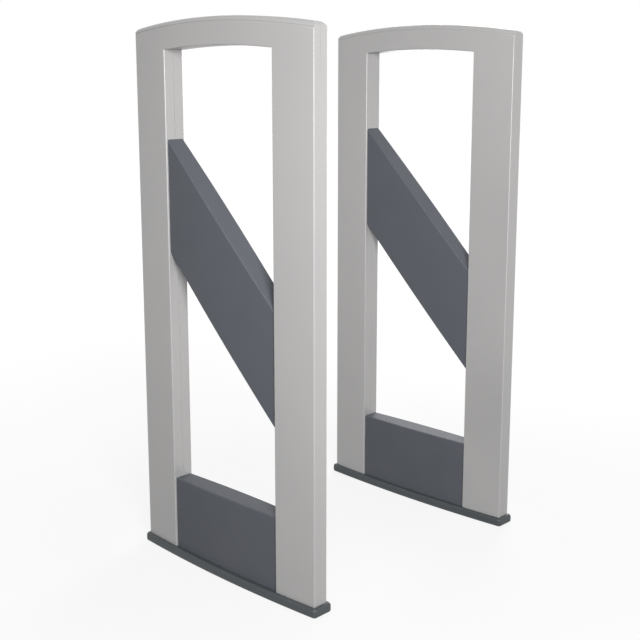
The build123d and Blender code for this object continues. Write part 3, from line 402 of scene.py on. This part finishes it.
def shell_seats(places):
    """How far from the mid plane the heads of the housing's screws sit."""
    seat = bpy.context.scene.gate_housing.seat
    return [half_depth(x) - seat for x, _ in places]


def lid_screw_places():
    """Where screws hold the diagonal's lid, in X and Z."""
    sizes = bpy.context.scene.gate_panels
    slant = math.sqrt(0.5)  # the band falls at 45 degrees
    places = []
    for along in (-sizes.lid_boss_along, sizes.lid_boss_along):
        for across in (-sizes.lid_boss_across, sizes.lid_boss_across):
            places.append(((along + across) * slant, BAND_CENTRE + (across - along) * slant))
    return places


def cover_screw_places():
    """Where captive screws hold the service cover, in X and Z."""
    sizes = bpy.context.scene.gate_panels
    rows = (PLINTH_TOP + sizes.cover_bottom, KICK_TOP - sizes.cover_top)
    return [(s * (WINDOW_HALF - sizes.cover_inset), z) for s in (-1, 1) for z in rows]


def plate_seats(places):
    """How far from the mid plane the heads of the lid's and the cover's screws sit."""
    recess = bpy.context.scene.gate_panels.recess
    return [half_depth(x) - recess - PLATE_SEAT for x, _ in places]


# ---------------------------------------------------------------- housing


SLOT_HALF_DEPTH = 23 * MM  # side openings reach this far from the mid plane
SLOT_MARGIN = 20 * MM  # the upper ones stay this far inside the diagonal's ends
KICK_SLOT_LIFT = 30 * MM  # the lower ones start this far above the plinth
KICK_SLOT_DROP = 25 * MM  # and end this far below the kick box's top
BOSS_RADIUS = 5.5 * MM
BORE_RADIUS = 2.3 * MM
HEAD_BORE_RADIUS = 4.1 * MM
CUTTER_REACH = 1.1 * HALF_MID  # a cutter starts outside the face
ARCH_START_DROP = 70 * MM  # the columns are straight up to this far below the window's crown
SLICE_PITCH = 30 * MM  # cuts across a bowed face
COLUMN_PITCH = 100 * MM  # cuts up a straight column


def side_slots(side):
    """Low and high ends of the openings in a column's window face, behind the dark panels."""
    middle = BAND_CENTRE - side * WINDOW_HALF
    reach = band_half_rise() - SLOT_MARGIN
    kick_slot = (PLINTH_TOP + KICK_SLOT_LIFT, KICK_TOP - KICK_SLOT_DROP)
    return [(middle - reach, middle + reach), kick_slot]


def cut_side_slots(bm):
    """Opens the columns' window faces behind the dark panels, for aerials, spar and leads."""
    for side in (-1, 1):
        wall = faces_where(bm, lambda co: abs(co.x - side * WINDOW_HALF) < TINY)
        slots = side_slots(side)
        pieces = slice_faces(bm, wall, Y_AXIS, [-SLOT_HALF_DEPTH])
        pieces = slice_faces(bm, pieces, Z_AXIS, [end for slot in slots for end in slot])
        inside = []
        for face in pieces:
            centre = face.calc_center_median()
            if centre.y > -SLOT_HALF_DEPTH and any(low < centre.z < high for low, high in slots):
                inside.append(face)
        bmesh.ops.delete(bm, geom=inside, context="FACES")


def front_edges(bm, window):
    """Edges of the flat front face above the plinth: the outer rim's, and the window's."""
    rim, reveal = [], []
    for edge in edges_where(bm, lambda co: co.y < -HALF_MID + TINY):
        ends = [vert.co for vert in edge.verts]
        if any(co.z > PLINTH_TOP + TINY for co in ends):
            inside = all(abs(co.x) < WINDOW_HALF + TINY and co.z < window + TINY for co in ends)
            (reveal if inside else rim).append(edge)
    return rim, reveal


def shell_form():
    """Half of the housing about its pedestal's centre, its face towards -Y: a thin arched skin."""
    sizes = bpy.context.scene.gate_housing
    seam, window = -SEAM_GAP / 2, CROWN - sizes.header_depth
    arch_start = window - ARCH_START_DROP
    outline = upright_corners(HALF_WIDTH, PLINTH_TOP, CROWN)
    outline += reversed(upright_corners(WINDOW_HALF, PLINTH_TOP, window))
    bm = slab(outline, -HALF_MID, seam)
    corners = edges_where(bm, lambda co: abs(co.x) > HALF_WIDTH - TINY and co.z > CROWN - TINY)
    round_edges(bm, corners, sizes.corner, segments=8)
    rim, _ = front_edges(bm, window)
    round_edges(bm, rim, sizes.edge, segments=6)
    _, reveal = front_edges(bm, window)
    round_edges(bm, reveal, sizes.window_edge, segments=4)
    open_faces = faces_where(bm, lambda co: co.y > seam - TINY)
    open_faces += faces_where(bm, lambda co: co.z < PLINTH_TOP + TINY)
    bmesh.ops.delete(bm, geom=open_faces, context="FACES")
    slice_faces(bm, bm.faces[:], X_AXIS, steps(-HALF_WIDTH, HALF_WIDTH, SLICE_PITCH))
    slice_faces(bm, bm.faces[:], Z_AXIS, steps(PLINTH_TOP, arch_start, COLUMN_PITCH))
    slice_faces(bm, bm.faces[:], Z_AXIS, [arch_start])
    slice_faces(bm, bm.faces[:], Y_AXIS, [seam - sizes.groove])
    arch_header(bm, arch_start, window)
    bow(bm, sizes.end_thickness / 2 - sizes.edge - TINY)
    cut_side_slots(bm)
    bm.normal_update()
    for vert in bm.verts:
        if vert.co.y > seam - TINY:  # the seam's edge is drawn in, which leaves the groove
            vert.co -= vert.normal * sizes.groove
    bmesh.ops.solidify(bm, geom=bm.faces[:], thickness=sizes.wall)
    return bm


def shell_with_bosses(rear):
    """A housing half with its screw bosses; the rear half has the screw holes."""
    wall = bpy.context.scene.gate_housing.wall
    places = shell_screw_places()
    bm = shell_form()
    spans = [(wall / 2 - half_depth(x), -SEAM_GAP / 2) for x, _ in places]
    bosses = rods(places, BOSS_RADIUS, spans)
    if rear:
        heads = [(-CUTTER_REACH, -seat) for seat in shell_seats(places)]
        bm = carve(bm, rods(places, HEAD_BORE_RADIUS, heads))
        bosses = carve(bosses, rods(places, HEAD_BORE_RADIUS, heads))
        bosses = carve(bosses, rods(places, BORE_RADIUS, [(-HALF_MID, SEAM_GAP)] * len(places)))
    join(bm, bosses)
    if rear:
        bmesh.ops.scale(bm, vec=(1, -1, 1), verts=bm.verts[:])
        bmesh.ops.reverse_faces(bm, faces=bm.faces[:])
    return bm


class GATE_OT_housing(bpy.types.Operator):
    """Build the silver housing halves of both pedestals"""

    bl_idname = "gate.housing"
    bl_label = "Housings"

    def execute(self, context):
        paint = silver_lacquer()
        for pedestal in PEDESTALS:
            for half, rear in (("front_shell", False), ("rear_shell", True)):
                node = f"{pedestal}_{half}"
                finish_piece(
                    f"{node}_skin", shell_with_bosses(rear), pedestal, GATE_BODY,
                    paint, [node],
                )
        return {"FINISHED"}


# ---------------------------------------------------------------- dark panels


POST_RADIUS = 6 * MM
POST_GAP = 0.5 * MM  # between a post's tip and the plate that it carries
POST_BORE_DEPTH = 16 * MM
SCREW_BORE_RADIUS = 2.05 * MM
COVER_HEAD_BORE_RADIUS = 5.4 * MM
VENT_ROUND_SHARE = 0.98  # of half a vent's width, so that its rounded corners don't quite meet


def panel_form(corners):
    """A dark panel's front with its upper and lower edges: open at the rear, ends and plinth."""
    sizes = bpy.context.scene.gate_panels
    depth = HALF_MID - sizes.recess
    bm = slab(corners, -depth, depth)
    long_edges = [
        edge for edge in edges_along(bm, X_AXIS, PANEL_HALF)
        if all(vert.co.y < -depth + TINY for vert in edge.verts)
        and any(vert.co.z > PLINTH_TOP + TINY for vert in edge.verts)
    ]
    round_edges(bm, long_edges, sizes.edge, segments=4)
    open_faces = faces_where(bm, lambda co: co.y > depth - TINY)
    open_faces += faces_where(bm, lambda co: co.x > PANEL_HALF - TINY)
    open_faces += faces_where(bm, lambda co: co.x < -PANEL_HALF + TINY)
    open_faces += faces_where(bm, lambda co: co.z < PLINTH_TOP + TINY)
    bmesh.ops.delete(bm, geom=open_faces, context="FACES")
    slice_faces(bm, bm.faces[:], X_AXIS, steps(-PANEL_HALF, PANEL_HALF, SLICE_PITCH))
    bow(bm, depth / 2)
    bmesh.ops.solidify(bm, geom=bm.faces[:], thickness=sizes.wall)
    return bm


def add_posts(bm, places):
    """Adds the screw posts that stand on a panel's front wall, with their bores."""
    sizes = bpy.context.scene.gate_panels
    tips = [half_depth(x) - sizes.recess for x, _ in places]
    spans = [(sizes.wall / 2 - tip, tip - sizes.wall - POST_GAP) for tip in tips]
    posts = rods(places, POST_RADIUS, spans)
    bores = [(end - POST_BORE_DEPTH, end + MM) for _, end in spans]
    return join(bm, carve(posts, rods(places, SCREW_BORE_RADIUS, bores)))


def rear_plate(corners):
    """A bowed plate at the rear of a dark panel, its outer edges rounded."""
    sizes = bpy.context.scene.gate_panels
    outer = HALF_MID - sizes.recess
    inner = outer - sizes.wall
    bm = slab(corners, inner, outer)
    rim = edges_where(bm, lambda co: co.y > outer - TINY)
    round_edges(bm, rim, sizes.plate_edge, segments=2)
    slice_faces(bm, bm.faces[:], X_AXIS, steps(-PANEL_HALF, PANEL_HALF, SLICE_PITCH))
    bow(bm, inner / 2)
    return bm


def drill(bm, places, head_radius):
    """Screw holes through a rear plate, with a shallow seat for each head."""
    bm = carve(bm, rods(places, BORE_RADIUS, [(0, HALF_MID)] * len(places)))
    seats = [(seat, HALF_MID) for seat in plate_seats(places)]
    return carve(bm, rods(places, head_radius, seats))


class GATE_OT_diagonal(bpy.types.Operator):
    """Build the diagonal panels' trays and lids"""

    bl_idname = "gate.diagonal"
    bl_label = "Diagonal panels"

    def execute(self, context):
        wall = context.scene.gate_panels.wall
        plastic = charcoal_abs()
        places = lid_screw_places()
        for pedestal in PEDESTALS:
            tray = add_posts(panel_form(band_corners()), places)
            node = f"{pedestal}_diagonal_tray"
            finish_piece(
                f"{node}_skin", tray, pedestal, GATE_BODY, plastic, [node]
            )
            lid = drill(rear_plate(band_corners(wall + PANEL_GAP)), places, HEAD_BORE_RADIUS)
            node = f"{pedestal}_diagonal_lid"
            finish_piece(
                f"{node}_skin", lid, pedestal, GATE_BODY, plastic, [node]
            )
        return {"FINISHED"}


def vent_slots():
    """Round-ended bars in the shape of the service cover's vents."""
    sizes = bpy.context.scene.gate_panels
    middle = (COVER_LOW.z + COVER_HIGH.z) / 2
    half, radius = sizes.vent_length / 2, sizes.vent_width / 2
    bm = bmesh.new()
    for row in range(sizes.vents):
        z = middle + (row - (sizes.vents - 1) / 2) * sizes.vent_pitch
        bar = slab(upright_corners(half, z - radius, z + radius), 0, HALF_MID)
        corners = edges_along(bar, Y_AXIS, HALF_MID / 2)
        round_edges(bar, corners, radius * VENT_ROUND_SHARE, segments=5)
        join(bm, bar)
    return bm


class GATE_OT_kick_box(bpy.types.Operator):
    """Build the kick boxes and their lift-off service covers"""

    bl_idname = "gate.kick_box"
    bl_label = "Kick boxes"

    def execute(self, context):
        plastic = charcoal_abs()
        places = cover_screw_places()
        box_face = upright_corners(PANEL_HALF, PLINTH_TOP, KICK_TOP)
        cover_face = upright_corners(WINDOW_HALF - COVER_GAP, COVER_LOW.z, COVER_HIGH.z)
        for pedestal in PEDESTALS:
            node = f"{pedestal}_kick_panel"
            box = add_posts(panel_form(box_face), places)
            finish_piece(
                f"{node}_skin", box, pedestal, GATE_BODY, plastic, [node]
            )
            node = f"{pedestal}_service_cover"
            cover = carve(rear_plate(cover_face), vent_slots())
            cover = drill(cover, places, COVER_HEAD_BORE_RADIUS)
            body = f"{pedestal}_cover"
            finish_piece(f"{node}_skin", cover, pedestal, body, plastic, [node])
        return {"FINISHED"}


# ---------------------------------------------------------------- plinth


def plinth_form():
    """The plinth: a thin moulding with a rounded nose, open below and where the housing stands."""
    sizes = bpy.context.scene.gate_plinth
    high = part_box("primary_plinth_moulding")[1]
    half, depth = high.x, high.y - centre_of("primary")
    grow = half - HALF_WIDTH
    bm = face_from([(-half, -depth, 0), (half, -depth, 0), (half, depth, 0), (-half, depth, 0)])
    extrude_all(bm, Z_AXIS * high.z)
    round_edges(bm, edges_along(bm, Z_AXIS, high.z / 2), sizes.corner, segments=8)
    round_edges(bm, edges_where(bm, lambda co: co.z > high.z - TINY), sizes.nose, segments=8)
    round_edges(bm, edges_where(bm, lambda co: co.z < TINY), sizes.heel, segments=5)
    bmesh.ops.delete(bm, geom=faces_where(bm, lambda co: co.z < TINY), context="FACES")
    top = faces_where(bm, lambda co: co.z > high.z - TINY)
    hole_x, hole_y = HALF_WIDTH - sizes.ledge, depth - grow - sizes.ledge
    top = slice_faces(bm, top, X_AXIS, [-hole_x, hole_x])
    top = slice_faces(bm, top, Y_AXIS, [-hole_y, hole_y])
    middles = [(face, face.calc_center_median()) for face in top]
    hole = [face for face, middle in middles if abs(middle.x) < hole_x and abs(middle.y) < hole_y]
    bmesh.ops.delete(bm, geom=hole, context="FACES")
    slice_faces(bm, bm.faces[:], X_AXIS, steps(-half, half, SLICE_PITCH))
    bow(bm, hole_y - TINY)
    bmesh.ops.solidify(bm, geom=bm.faces[:], thickness=sizes.wall)
    return bm


class GATE_OT_plinth(bpy.types.Operator):
    """Build the plinth mouldings"""

    bl_idname = "gate.plinth"
    bl_label = "Plinths"

    def execute(self, context):
        plastic = plinth_abs()
        for pedestal in PEDESTALS:
            node = f"{pedestal}_plinth_moulding"
            finish_piece(
                f"{node}_skin", plinth_form(), pedestal, GATE_BODY, plastic,
                [node],
            )
        return {"FINISHED"}


# ---------------------------------------------------------------- screws


SHANK_RADIUS = 2 * MM
HEAD_RADIUS = 3.7 * MM
HEAD_HEIGHT = 2.6 * MM
COVER_HEAD_RADIUS = 5 * MM
COVER_HEAD_HEIGHT = 3.5 * MM
HEAD_ROUND = 0.6 * MM
SOCKET_RADIUS_SHARE = 0.45  # of the head's radius
SOCKET_DEPTH_SHARE = 0.6  # of the head's height
SHELL_SCREW_REACH = 14 * MM  # past the mid plane, into the front half's boss
LID_SCREW_LENGTH = 16 * MM
COVER_SCREW_LENGTH = 14 * MM


def socket_screws(places, seats, lengths, head_radius, head_height):
    """Hexagon socket screws along Y, their rounded heads towards +Y."""
    socket_radius = head_radius * SOCKET_RADIUS_SHARE
    socket_depth = head_height * SOCKET_DEPTH_SHARE
    bm = bmesh.new()
    sockets = bmesh.new()
    for place, seat in zip(places, seats):
        top = seat + head_height
        head = bmesh.new()
        add_rod(head, place, head_radius, seat, top)
        rim = edges_where(head, lambda co: co.y > top - TINY)
        round_edges(head, rim, HEAD_ROUND, segments=3)
        join(bm, head)
        add_rod(sockets, place, socket_radius, top - socket_depth, top + MM, segments=6)
    bm = carve(bm, sockets)
    shanks = [(seat - span, seat) for seat, span in zip(seats, lengths)]
    return join(bm, rods(places, SHANK_RADIUS, shanks, segments=16))


class GATE_OT_screws(bpy.types.Operator):
    """Build the visible screws of housings, lids and covers"""

    bl_idname = "gate.screws"
    bl_label = "Screws"

    def execute(self, context):
        steel = black_oxide_steel()
        for pedestal in PEDESTALS:
            places = shell_screw_places()
            seats = shell_seats(places)
            lengths = [seat + SHELL_SCREW_REACH for seat in seats]
            bm = socket_screws(places, seats, lengths, HEAD_RADIUS, HEAD_HEIGHT)
            places = lid_screw_places()
            lengths = [LID_SCREW_LENGTH] * len(places)
            seats = plate_seats(places)
            join(bm, socket_screws(places, seats, lengths, HEAD_RADIUS, HEAD_HEIGHT))
            node = f"{pedestal}_shell_screws"
            finish_piece(f"{node}_set", bm, pedestal, GATE_BODY, steel, [node])
            places = cover_screw_places()
            lengths = [COVER_SCREW_LENGTH] * len(places)
            seats = plate_seats(places)
            bm = socket_screws(places, seats, lengths, COVER_HEAD_RADIUS, COVER_HEAD_HEIGHT)
            node, body = f"{pedestal}_cover_screws", f"{pedestal}_cover"
            finish_piece(f"{node}_set", bm, pedestal, body, steel, [node])
        return {"FINISHED"}


# ---------------------------------------------------------------- finishes


NOISE_LOW, NOISE_HIGH = 0.3, 0.7  # most of a noise texture lies between these


def add(tree, kind, settings=None, **sockets):
    """Adds a node, sets its properties, and sets or links its sockets.

    A socket goes by its name, with _ for a space, or by its number, as i0 or i1.
    """
    node = tree.nodes.new(kind)
    for name, value in (settings or {}).items():
        setattr(node, name, value)
    for name, value in sockets.items():
        key = int(name[1:]) if name[1:].isdigit() else name.replace("_", " ")
        socket = node.inputs[key]
        if isinstance(value, bpy.types.NodeSocket):
            tree.links.new(value, socket)
        else:
            socket.default_value = value
    return node


def surface(
    name, tones, rough, grain, relief, blotch=180, swing=0.06, stretch=(1, 1, 1), **sockets
):
    """A finish of two close tones in soft blotches, with a fine grain in its relief and gloss.

    Tones are sRGB hex values, or linear colours read from the settings. Grain and blotch are
    widths and relief is a height, in millimetres. Swing is how far the grain moves the roughness.
    """
    found = bpy.data.materials.get(name)
    if found:
        return found
    material = bpy.data.materials.new(name)
    material.use_nodes = True
    tree = material.node_tree
    tree.nodes.clear()
    place = add(tree, "ShaderNodeTexCoord").outputs["Object"]
    laid = add(tree, "ShaderNodeMapping", Vector=place, Scale=stretch).outputs["Vector"]
    patches = add(tree, "ShaderNodeTexNoise", Vector=laid, Scale=1 / (blotch * MM), Detail=3.0)
    grit = add(tree, "ShaderNodeTexNoise", Vector=laid, Scale=1 / (grain * MM), Detail=2.0)
    dark, light = [linear(tone) if isinstance(tone, str) else tone for tone in tones]
    mixed = add(
        tree, "ShaderNodeMix", {"data_type": "RGBA"},
        i0=patches.outputs["Fac"], i6=(*dark, 1), i7=(*light, 1),
    )
    gloss = add(
        tree, "ShaderNodeMapRange", Value=grit.outputs["Fac"], From_Min=NOISE_LOW,
        From_Max=NOISE_HIGH, To_Min=rough - swing, To_Max=rough + swing,
    )
    bump = add(
        tree, "ShaderNodeBump", Height=grit.outputs["Fac"], Strength=0.6, Distance=relief * MM
    )
    shader = add(
        tree, "ShaderNodeBsdfPrincipled", Base_Color=mixed.outputs[2],
        Roughness=gloss.outputs["Result"], Normal=bump.outputs["Normal"], **sockets,
    )
    add(tree, "ShaderNodeOutputMaterial", Surface=shader.outputs["BSDF"])
    return material


def silver_lacquer():
    """Silver lacquer sprayed on moulded ABS: a satin sheen, with faint orange peel 4 mm across."""
    look = bpy.context.scene.gate_finish
    return surface(
        "silver_lacquer", (tuple(look.silver_shade), tuple(look.silver)), rough=0.4, swing=0.03,
        grain=4, relief=0.02, blotch=260, Metallic=0.2, Coat_Weight=0.12, Coat_Roughness=0.28,
    )


def charcoal_abs():
    """Charcoal ABS from a spark-eroded mould: matte, its grain drawn at 1.6 mm so that it shows."""
    look = bpy.context.scene.gate_finish
    return surface(
        "charcoal_abs", (tuple(look.charcoal_shade), tuple(look.charcoal)), rough=0.7,
        grain=1.6, relief=0.06, blotch=140,
    )


def plinth_abs():
    """The panels' ABS in a darker batch, with a coarser grain that hides scuffs."""
    look = bpy.context.scene.gate_finish
    return surface(
        "plinth_abs", (tuple(look.plinth_shade), tuple(look.plinth)), rough=0.5,
        grain=2.2, relief=0.08, blotch=120,
    )


def black_oxide_steel():
    """Black oxide on machined steel: near black with an oily sheen."""
    return surface(
        "black_oxide_steel", ("#17181A", "#232427"), rough=0.34, grain=0.8, relief=0.01,
        blotch=20, Metallic=0.8,
    )


def slot_finishes():
    """The finish of each material slot that CAD nodes keep."""
    return {
        # Zinc plate on cold-rolled steel: bright grey with cloudy spangles
        "zinc_steel": surface(
            "zinc_plate", ("#A2A9AF", "#C3C8CD"), rough=0.42, swing=0.04, grain=2.5,
            relief=0.002, blotch=14, Metallic=1.0,
        ),
        # Pultruded glass fibre: straw-coloured resin with long upright fibres
        "glass_fibre": surface(
            "pultruded_glass_fibre", ("#B9B18C", "#DAD4B6"), rough=0.5, grain=2, relief=0.05,
            blotch=30, stretch=(1, 1, 0.03),
        ),
        # Bare rolled copper: salmon pink with browned patches
        "copper_strip": surface(
            "rolled_copper", ("#8A4B32", "#D08A66"), rough=0.3, swing=0.1, grain=1.5,
            relief=0.01, blotch=45, Metallic=1.0,
        ),
        # Natural nylon: milky and faintly translucent
        "nylon": surface(
            "natural_nylon", ("#DAD5C6", "#EFECE2"), rough=0.42, grain=1.2, relief=0.02,
            blotch=30, Subsurface_Weight=0.2,
        ),
        # Solder mask over glass epoxy: glossy green, lighter in cloudy patches
        "circuit_board": surface(
            "solder_mask", ("#0B3D20", "#1B6B3A"), rough=0.25, grain=1.5, relief=0.04, blotch=6
        ),
        # Plated brass: pale gold, turned
        "trimmer_metal": surface(
            "plated_brass", ("#B08E4C", "#D8BC7A"), rough=0.28, grain=0.8, relief=0.01,
            blotch=8, Metallic=1.0,
        ),
        "black_screw": black_oxide_steel(),
        # Moulded rubber: dead matt black with a bloom
        "rubber": surface(
            "moulded_rubber", ("#141414", "#232322"), rough=0.75, grain=1.4, relief=0.05, blotch=30
        ),
        # Extruded PVC jacket: soft black with a slight shine
        "black_jacket": surface(
            "pvc_jacket", ("#111112", "#1C1C1E"), rough=0.4, grain=1.2, relief=0.02, blotch=40
        ),
        # Bead-blasted die casting: even pale grey
        "cast_case": surface(
            "blasted_casting", ("#9A9DA0", "#B7BABC"), rough=0.5, grain=1.1, relief=0.05,
            blotch=35, Metallic=1.0,
        ),
        # Nickel plate on turned brass: warm mirror grey
        "nickel_port": surface(
            "nickel_plate", ("#B8B1A4", "#D5CFC3"), rough=0.16, swing=0.04, grain=0.8,
            relief=0.005, blotch=12, Metallic=1.0,
        ),
        # Folded and plated sheet: brushed along its length
        "supply_case": surface(
            "plated_sheet", ("#A9ACAE", "#C3C6C8"), rough=0.34, swing=0.04, grain=1.2,
            relief=0.006, blotch=25, stretch=(0.03, 1, 1), Metallic=1.0,
        ),
        # Glass-filled polyamide: black with a dry sheen
        "black_moulding": surface(
            "black_polyamide", ("#17181A", "#232527"), rough=0.48, grain=1.2, relief=0.05, blotch=25
        ),
        # Red polycarbonate: glossy and even
        "red_rocker": surface(
            "red_polycarbonate", ("#9E1A14", "#B3231B"), rough=0.22, swing=0.03, grain=1.5,
            relief=0.01, blotch=12,
        ),
        # PVC wire insulation, brown for mains and red for low voltage: smooth with a soft shine
        "mains_insulation": surface(
            "brown_pvc", ("#4A2A17", "#5E3822"), rough=0.38, grain=1.0, relief=0.01, blotch=20
        ),
        "dc_insulation": surface(
            "red_pvc", ("#8C1712", "#A8231C"), rough=0.38, grain=1.0, relief=0.01, blotch=20
        ),
    }


class GATE_OT_finishes(bpy.types.Operator):
    """Give every CAD node that still shows its real finish"""

    bl_idname = "gate.finishes"
    bl_label = "Finishes"

    def execute(self, context):
        finishes = slot_finishes()
        for part in frame["record"]["subparts"]:
            node = frame["nodes"][part["node"]]
            if not node.hide_render:
                for slot in node.material_slots:
                    slot.material = finishes[part["material_slot"]]
        return {"FINISHED"}


# ---------------------------------------------------------------- studio


LAMP_SPREAD = math.radians(100)
LAMP_AIM = (0, 0, 0.75 * CROWN)
KEY_PLACE, KEY_SIZE = (2.9, -2.2, 1.9), 1.2
REAR_PLACE, REAR_SIZE = (-1.5, 3.4, 1.9), 2.0
FLOOR_HALF = 20
# The floor's glow grows from its level near the gate to its level far off, between two distances
GLOW_NEAR, GLOW_FAR = 0.84, 1.0
GLOW_START, GLOW_END = 0.8, 4.0
SENSOR_WIDTH = 36  # millimetres
CLIP_END = 100


def area_lamp(name, place, size, watts):
    """A square soft box turned towards the gate, with a grid that narrows its light."""
    lamp = bpy.data.lights.new(name, "AREA")
    lamp.energy, lamp.size, lamp.spread = watts, size, LAMP_SPREAD
    holder = bpy.data.objects.new(name, lamp)
    holder.location = place
    holder.rotation_euler = (Vector(LAMP_AIM) - Vector(place)).to_track_quat("-Z", "Y").to_euler()
    bpy.context.scene.collection.objects.link(holder)


def seen_directly(tree):
    """One for a camera, glossy or transmission ray, and zero for the light on the object."""
    path = add(tree, "ShaderNodeLightPath")
    either = add(
        tree, "ShaderNodeMath", {"operation": "MAXIMUM"},
        i0=path.outputs["Is Camera Ray"], i1=path.outputs["Is Glossy Ray"],
    )
    return add(
        tree, "ShaderNodeMath", {"operation": "MAXIMUM"},
        i0=either.outputs[0], i1=path.outputs["Is Transmission Ray"],
    ).outputs[0]


def white_surround(studio):
    """A world that lights evenly and shows as plain white."""
    world = bpy.data.worlds.new("white_surround")
    world.use_nodes = True
    tree = world.node_tree
    tree.nodes.clear()
    level = add(
        tree, "ShaderNodeMapRange", Value=seen_directly(tree), To_Min=studio.sky, To_Max=1.0
    ).outputs["Result"]
    light = add(tree, "ShaderNodeBackground", Color=(1, 1, 1, 1), Strength=level)
    add(tree, "ShaderNodeOutputWorld", Surface=light.outputs["Background"])
    bpy.context.scene.world = world


def floor_paint(studio):
    """Seamless paper: it takes the object's shadow, and is lifted to white as it runs off."""
    material = bpy.data.materials.new("seamless_paper")
    material.use_nodes = True
    tree = material.node_tree
    tree.nodes.clear()
    paper = add(tree, "ShaderNodeBsdfDiffuse", Color=(*studio.floor_tone, 1))
    place = add(tree, "ShaderNodeTexCoord").outputs["Object"]
    distance = add(tree, "ShaderNodeVectorMath", {"operation": "LENGTH"}, i0=place).outputs["Value"]
    lift = add(
        tree, "ShaderNodeMapRange", Value=distance, From_Min=GLOW_START, From_Max=GLOW_END,
        To_Min=GLOW_NEAR, To_Max=GLOW_FAR,
    )
    shown = add(
        tree, "ShaderNodeMath", {"operation": "MULTIPLY"},
        i0=seen_directly(tree), i1=lift.outputs["Result"],
    )
    glow = add(tree, "ShaderNodeEmission", Color=(1, 1, 1, 1), Strength=shown.outputs[0])
    both = add(tree, "ShaderNodeAddShader", i0=paper.outputs[0], i1=glow.outputs[0])
    add(tree, "ShaderNodeOutputMaterial", Surface=both.outputs[0])
    return material


class GATE_OT_stage(bpy.types.Operator):
    """Set up the floor, the lamps and the camera"""

    bl_idname = "gate.stage"
    bl_label = "Stage"

    def execute(self, context):
        scene, studio = context.scene, context.scene.gate_studio
        bm = bmesh.new()
        bmesh.ops.create_grid(bm, x_segments=1, y_segments=1, size=FLOOR_HALF)
        mesh = bpy.data.meshes.new("floor")
        bm.to_mesh(mesh)
        bm.free()
        mesh.materials.append(floor_paint(studio))
        floor = bpy.data.objects.new("floor", mesh)
        scene.collection.objects.link(floor)
        white_surround(studio)
        area_lamp("key", KEY_PLACE, KEY_SIZE, studio.key_watts)
        area_lamp("rear", REAR_PLACE, REAR_SIZE, studio.rear_watts)
        camera = bpy.data.cameras.new("camera")
        camera.sensor_width, camera.clip_end = SENSOR_WIDTH, CLIP_END
        camera.lens, camera.shift_y = studio.lens, studio.shift
        eye = bpy.data.objects.new("camera", camera)
        eye.location = studio.camera_place
        eye.rotation_euler = (math.radians(90) - studio.tilt, 0, studio.turn)
        scene.collection.objects.link(eye)
        scene.camera = eye
        scene.view_settings.view_transform = "Standard"
        return {"FINISHED"}


# ---------------------------------------------------------------- add-on


OPERATORS = (
    GATE_OT_housing, GATE_OT_diagonal, GATE_OT_kick_box, GATE_OT_plinth, GATE_OT_screws,
    GATE_OT_finishes, GATE_OT_stage,
)
GROUPS = {
    "gate_housing": GateHousing, "gate_panels": GatePanels, "gate_plinth": GatePlinth,
    "gate_finish": GateFinish, "gate_studio": GateStudio,
}


class GATE_PT_sidebar(bpy.types.Panel):
    """The gate's builders and their sizes"""

    bl_idname = "GATE_PT_sidebar"
    bl_label = "Security gate"
    bl_space_type = "VIEW_3D"
    bl_region_type = "UI"
    bl_category = "Gate"

    def draw(self, context):
        for operator in OPERATORS:
            self.layout.operator(operator.bl_idname)
        for group in GROUPS:
            settings = getattr(context.scene, group)
            box = self.layout.box()
            for name in settings.__annotations__:
                box.prop(settings, name)


def register():
    """Adds the groups, operators and panel."""
    for name, group in GROUPS.items():
        bpy.utils.register_class(group)
        setattr(bpy.types.Scene, name, PointerProperty(type=group))
    for operator in OPERATORS:
        bpy.utils.register_class(operator)
    bpy.utils.register_class(GATE_PT_sidebar)


def unregister():
    """Takes them away again."""
    bpy.utils.unregister_class(GATE_PT_sidebar)
    for operator in reversed(OPERATORS):
        bpy.utils.unregister_class(operator)
    for name, group in reversed(GROUPS.items()):
        delattr(bpy.types.Scene, name)
        bpy.utils.unregister_class(group)


def main():
    """Builds everything in order."""
    register()
    bpy.ops.gate.housing()
    bpy.ops.gate.diagonal()
    bpy.ops.gate.kick_box()
    bpy.ops.gate.plinth()
    bpy.ops.gate.screws()
    bpy.ops.gate.finishes()
    bpy.ops.gate.stage()


if __name__ == "__main__":
    main()
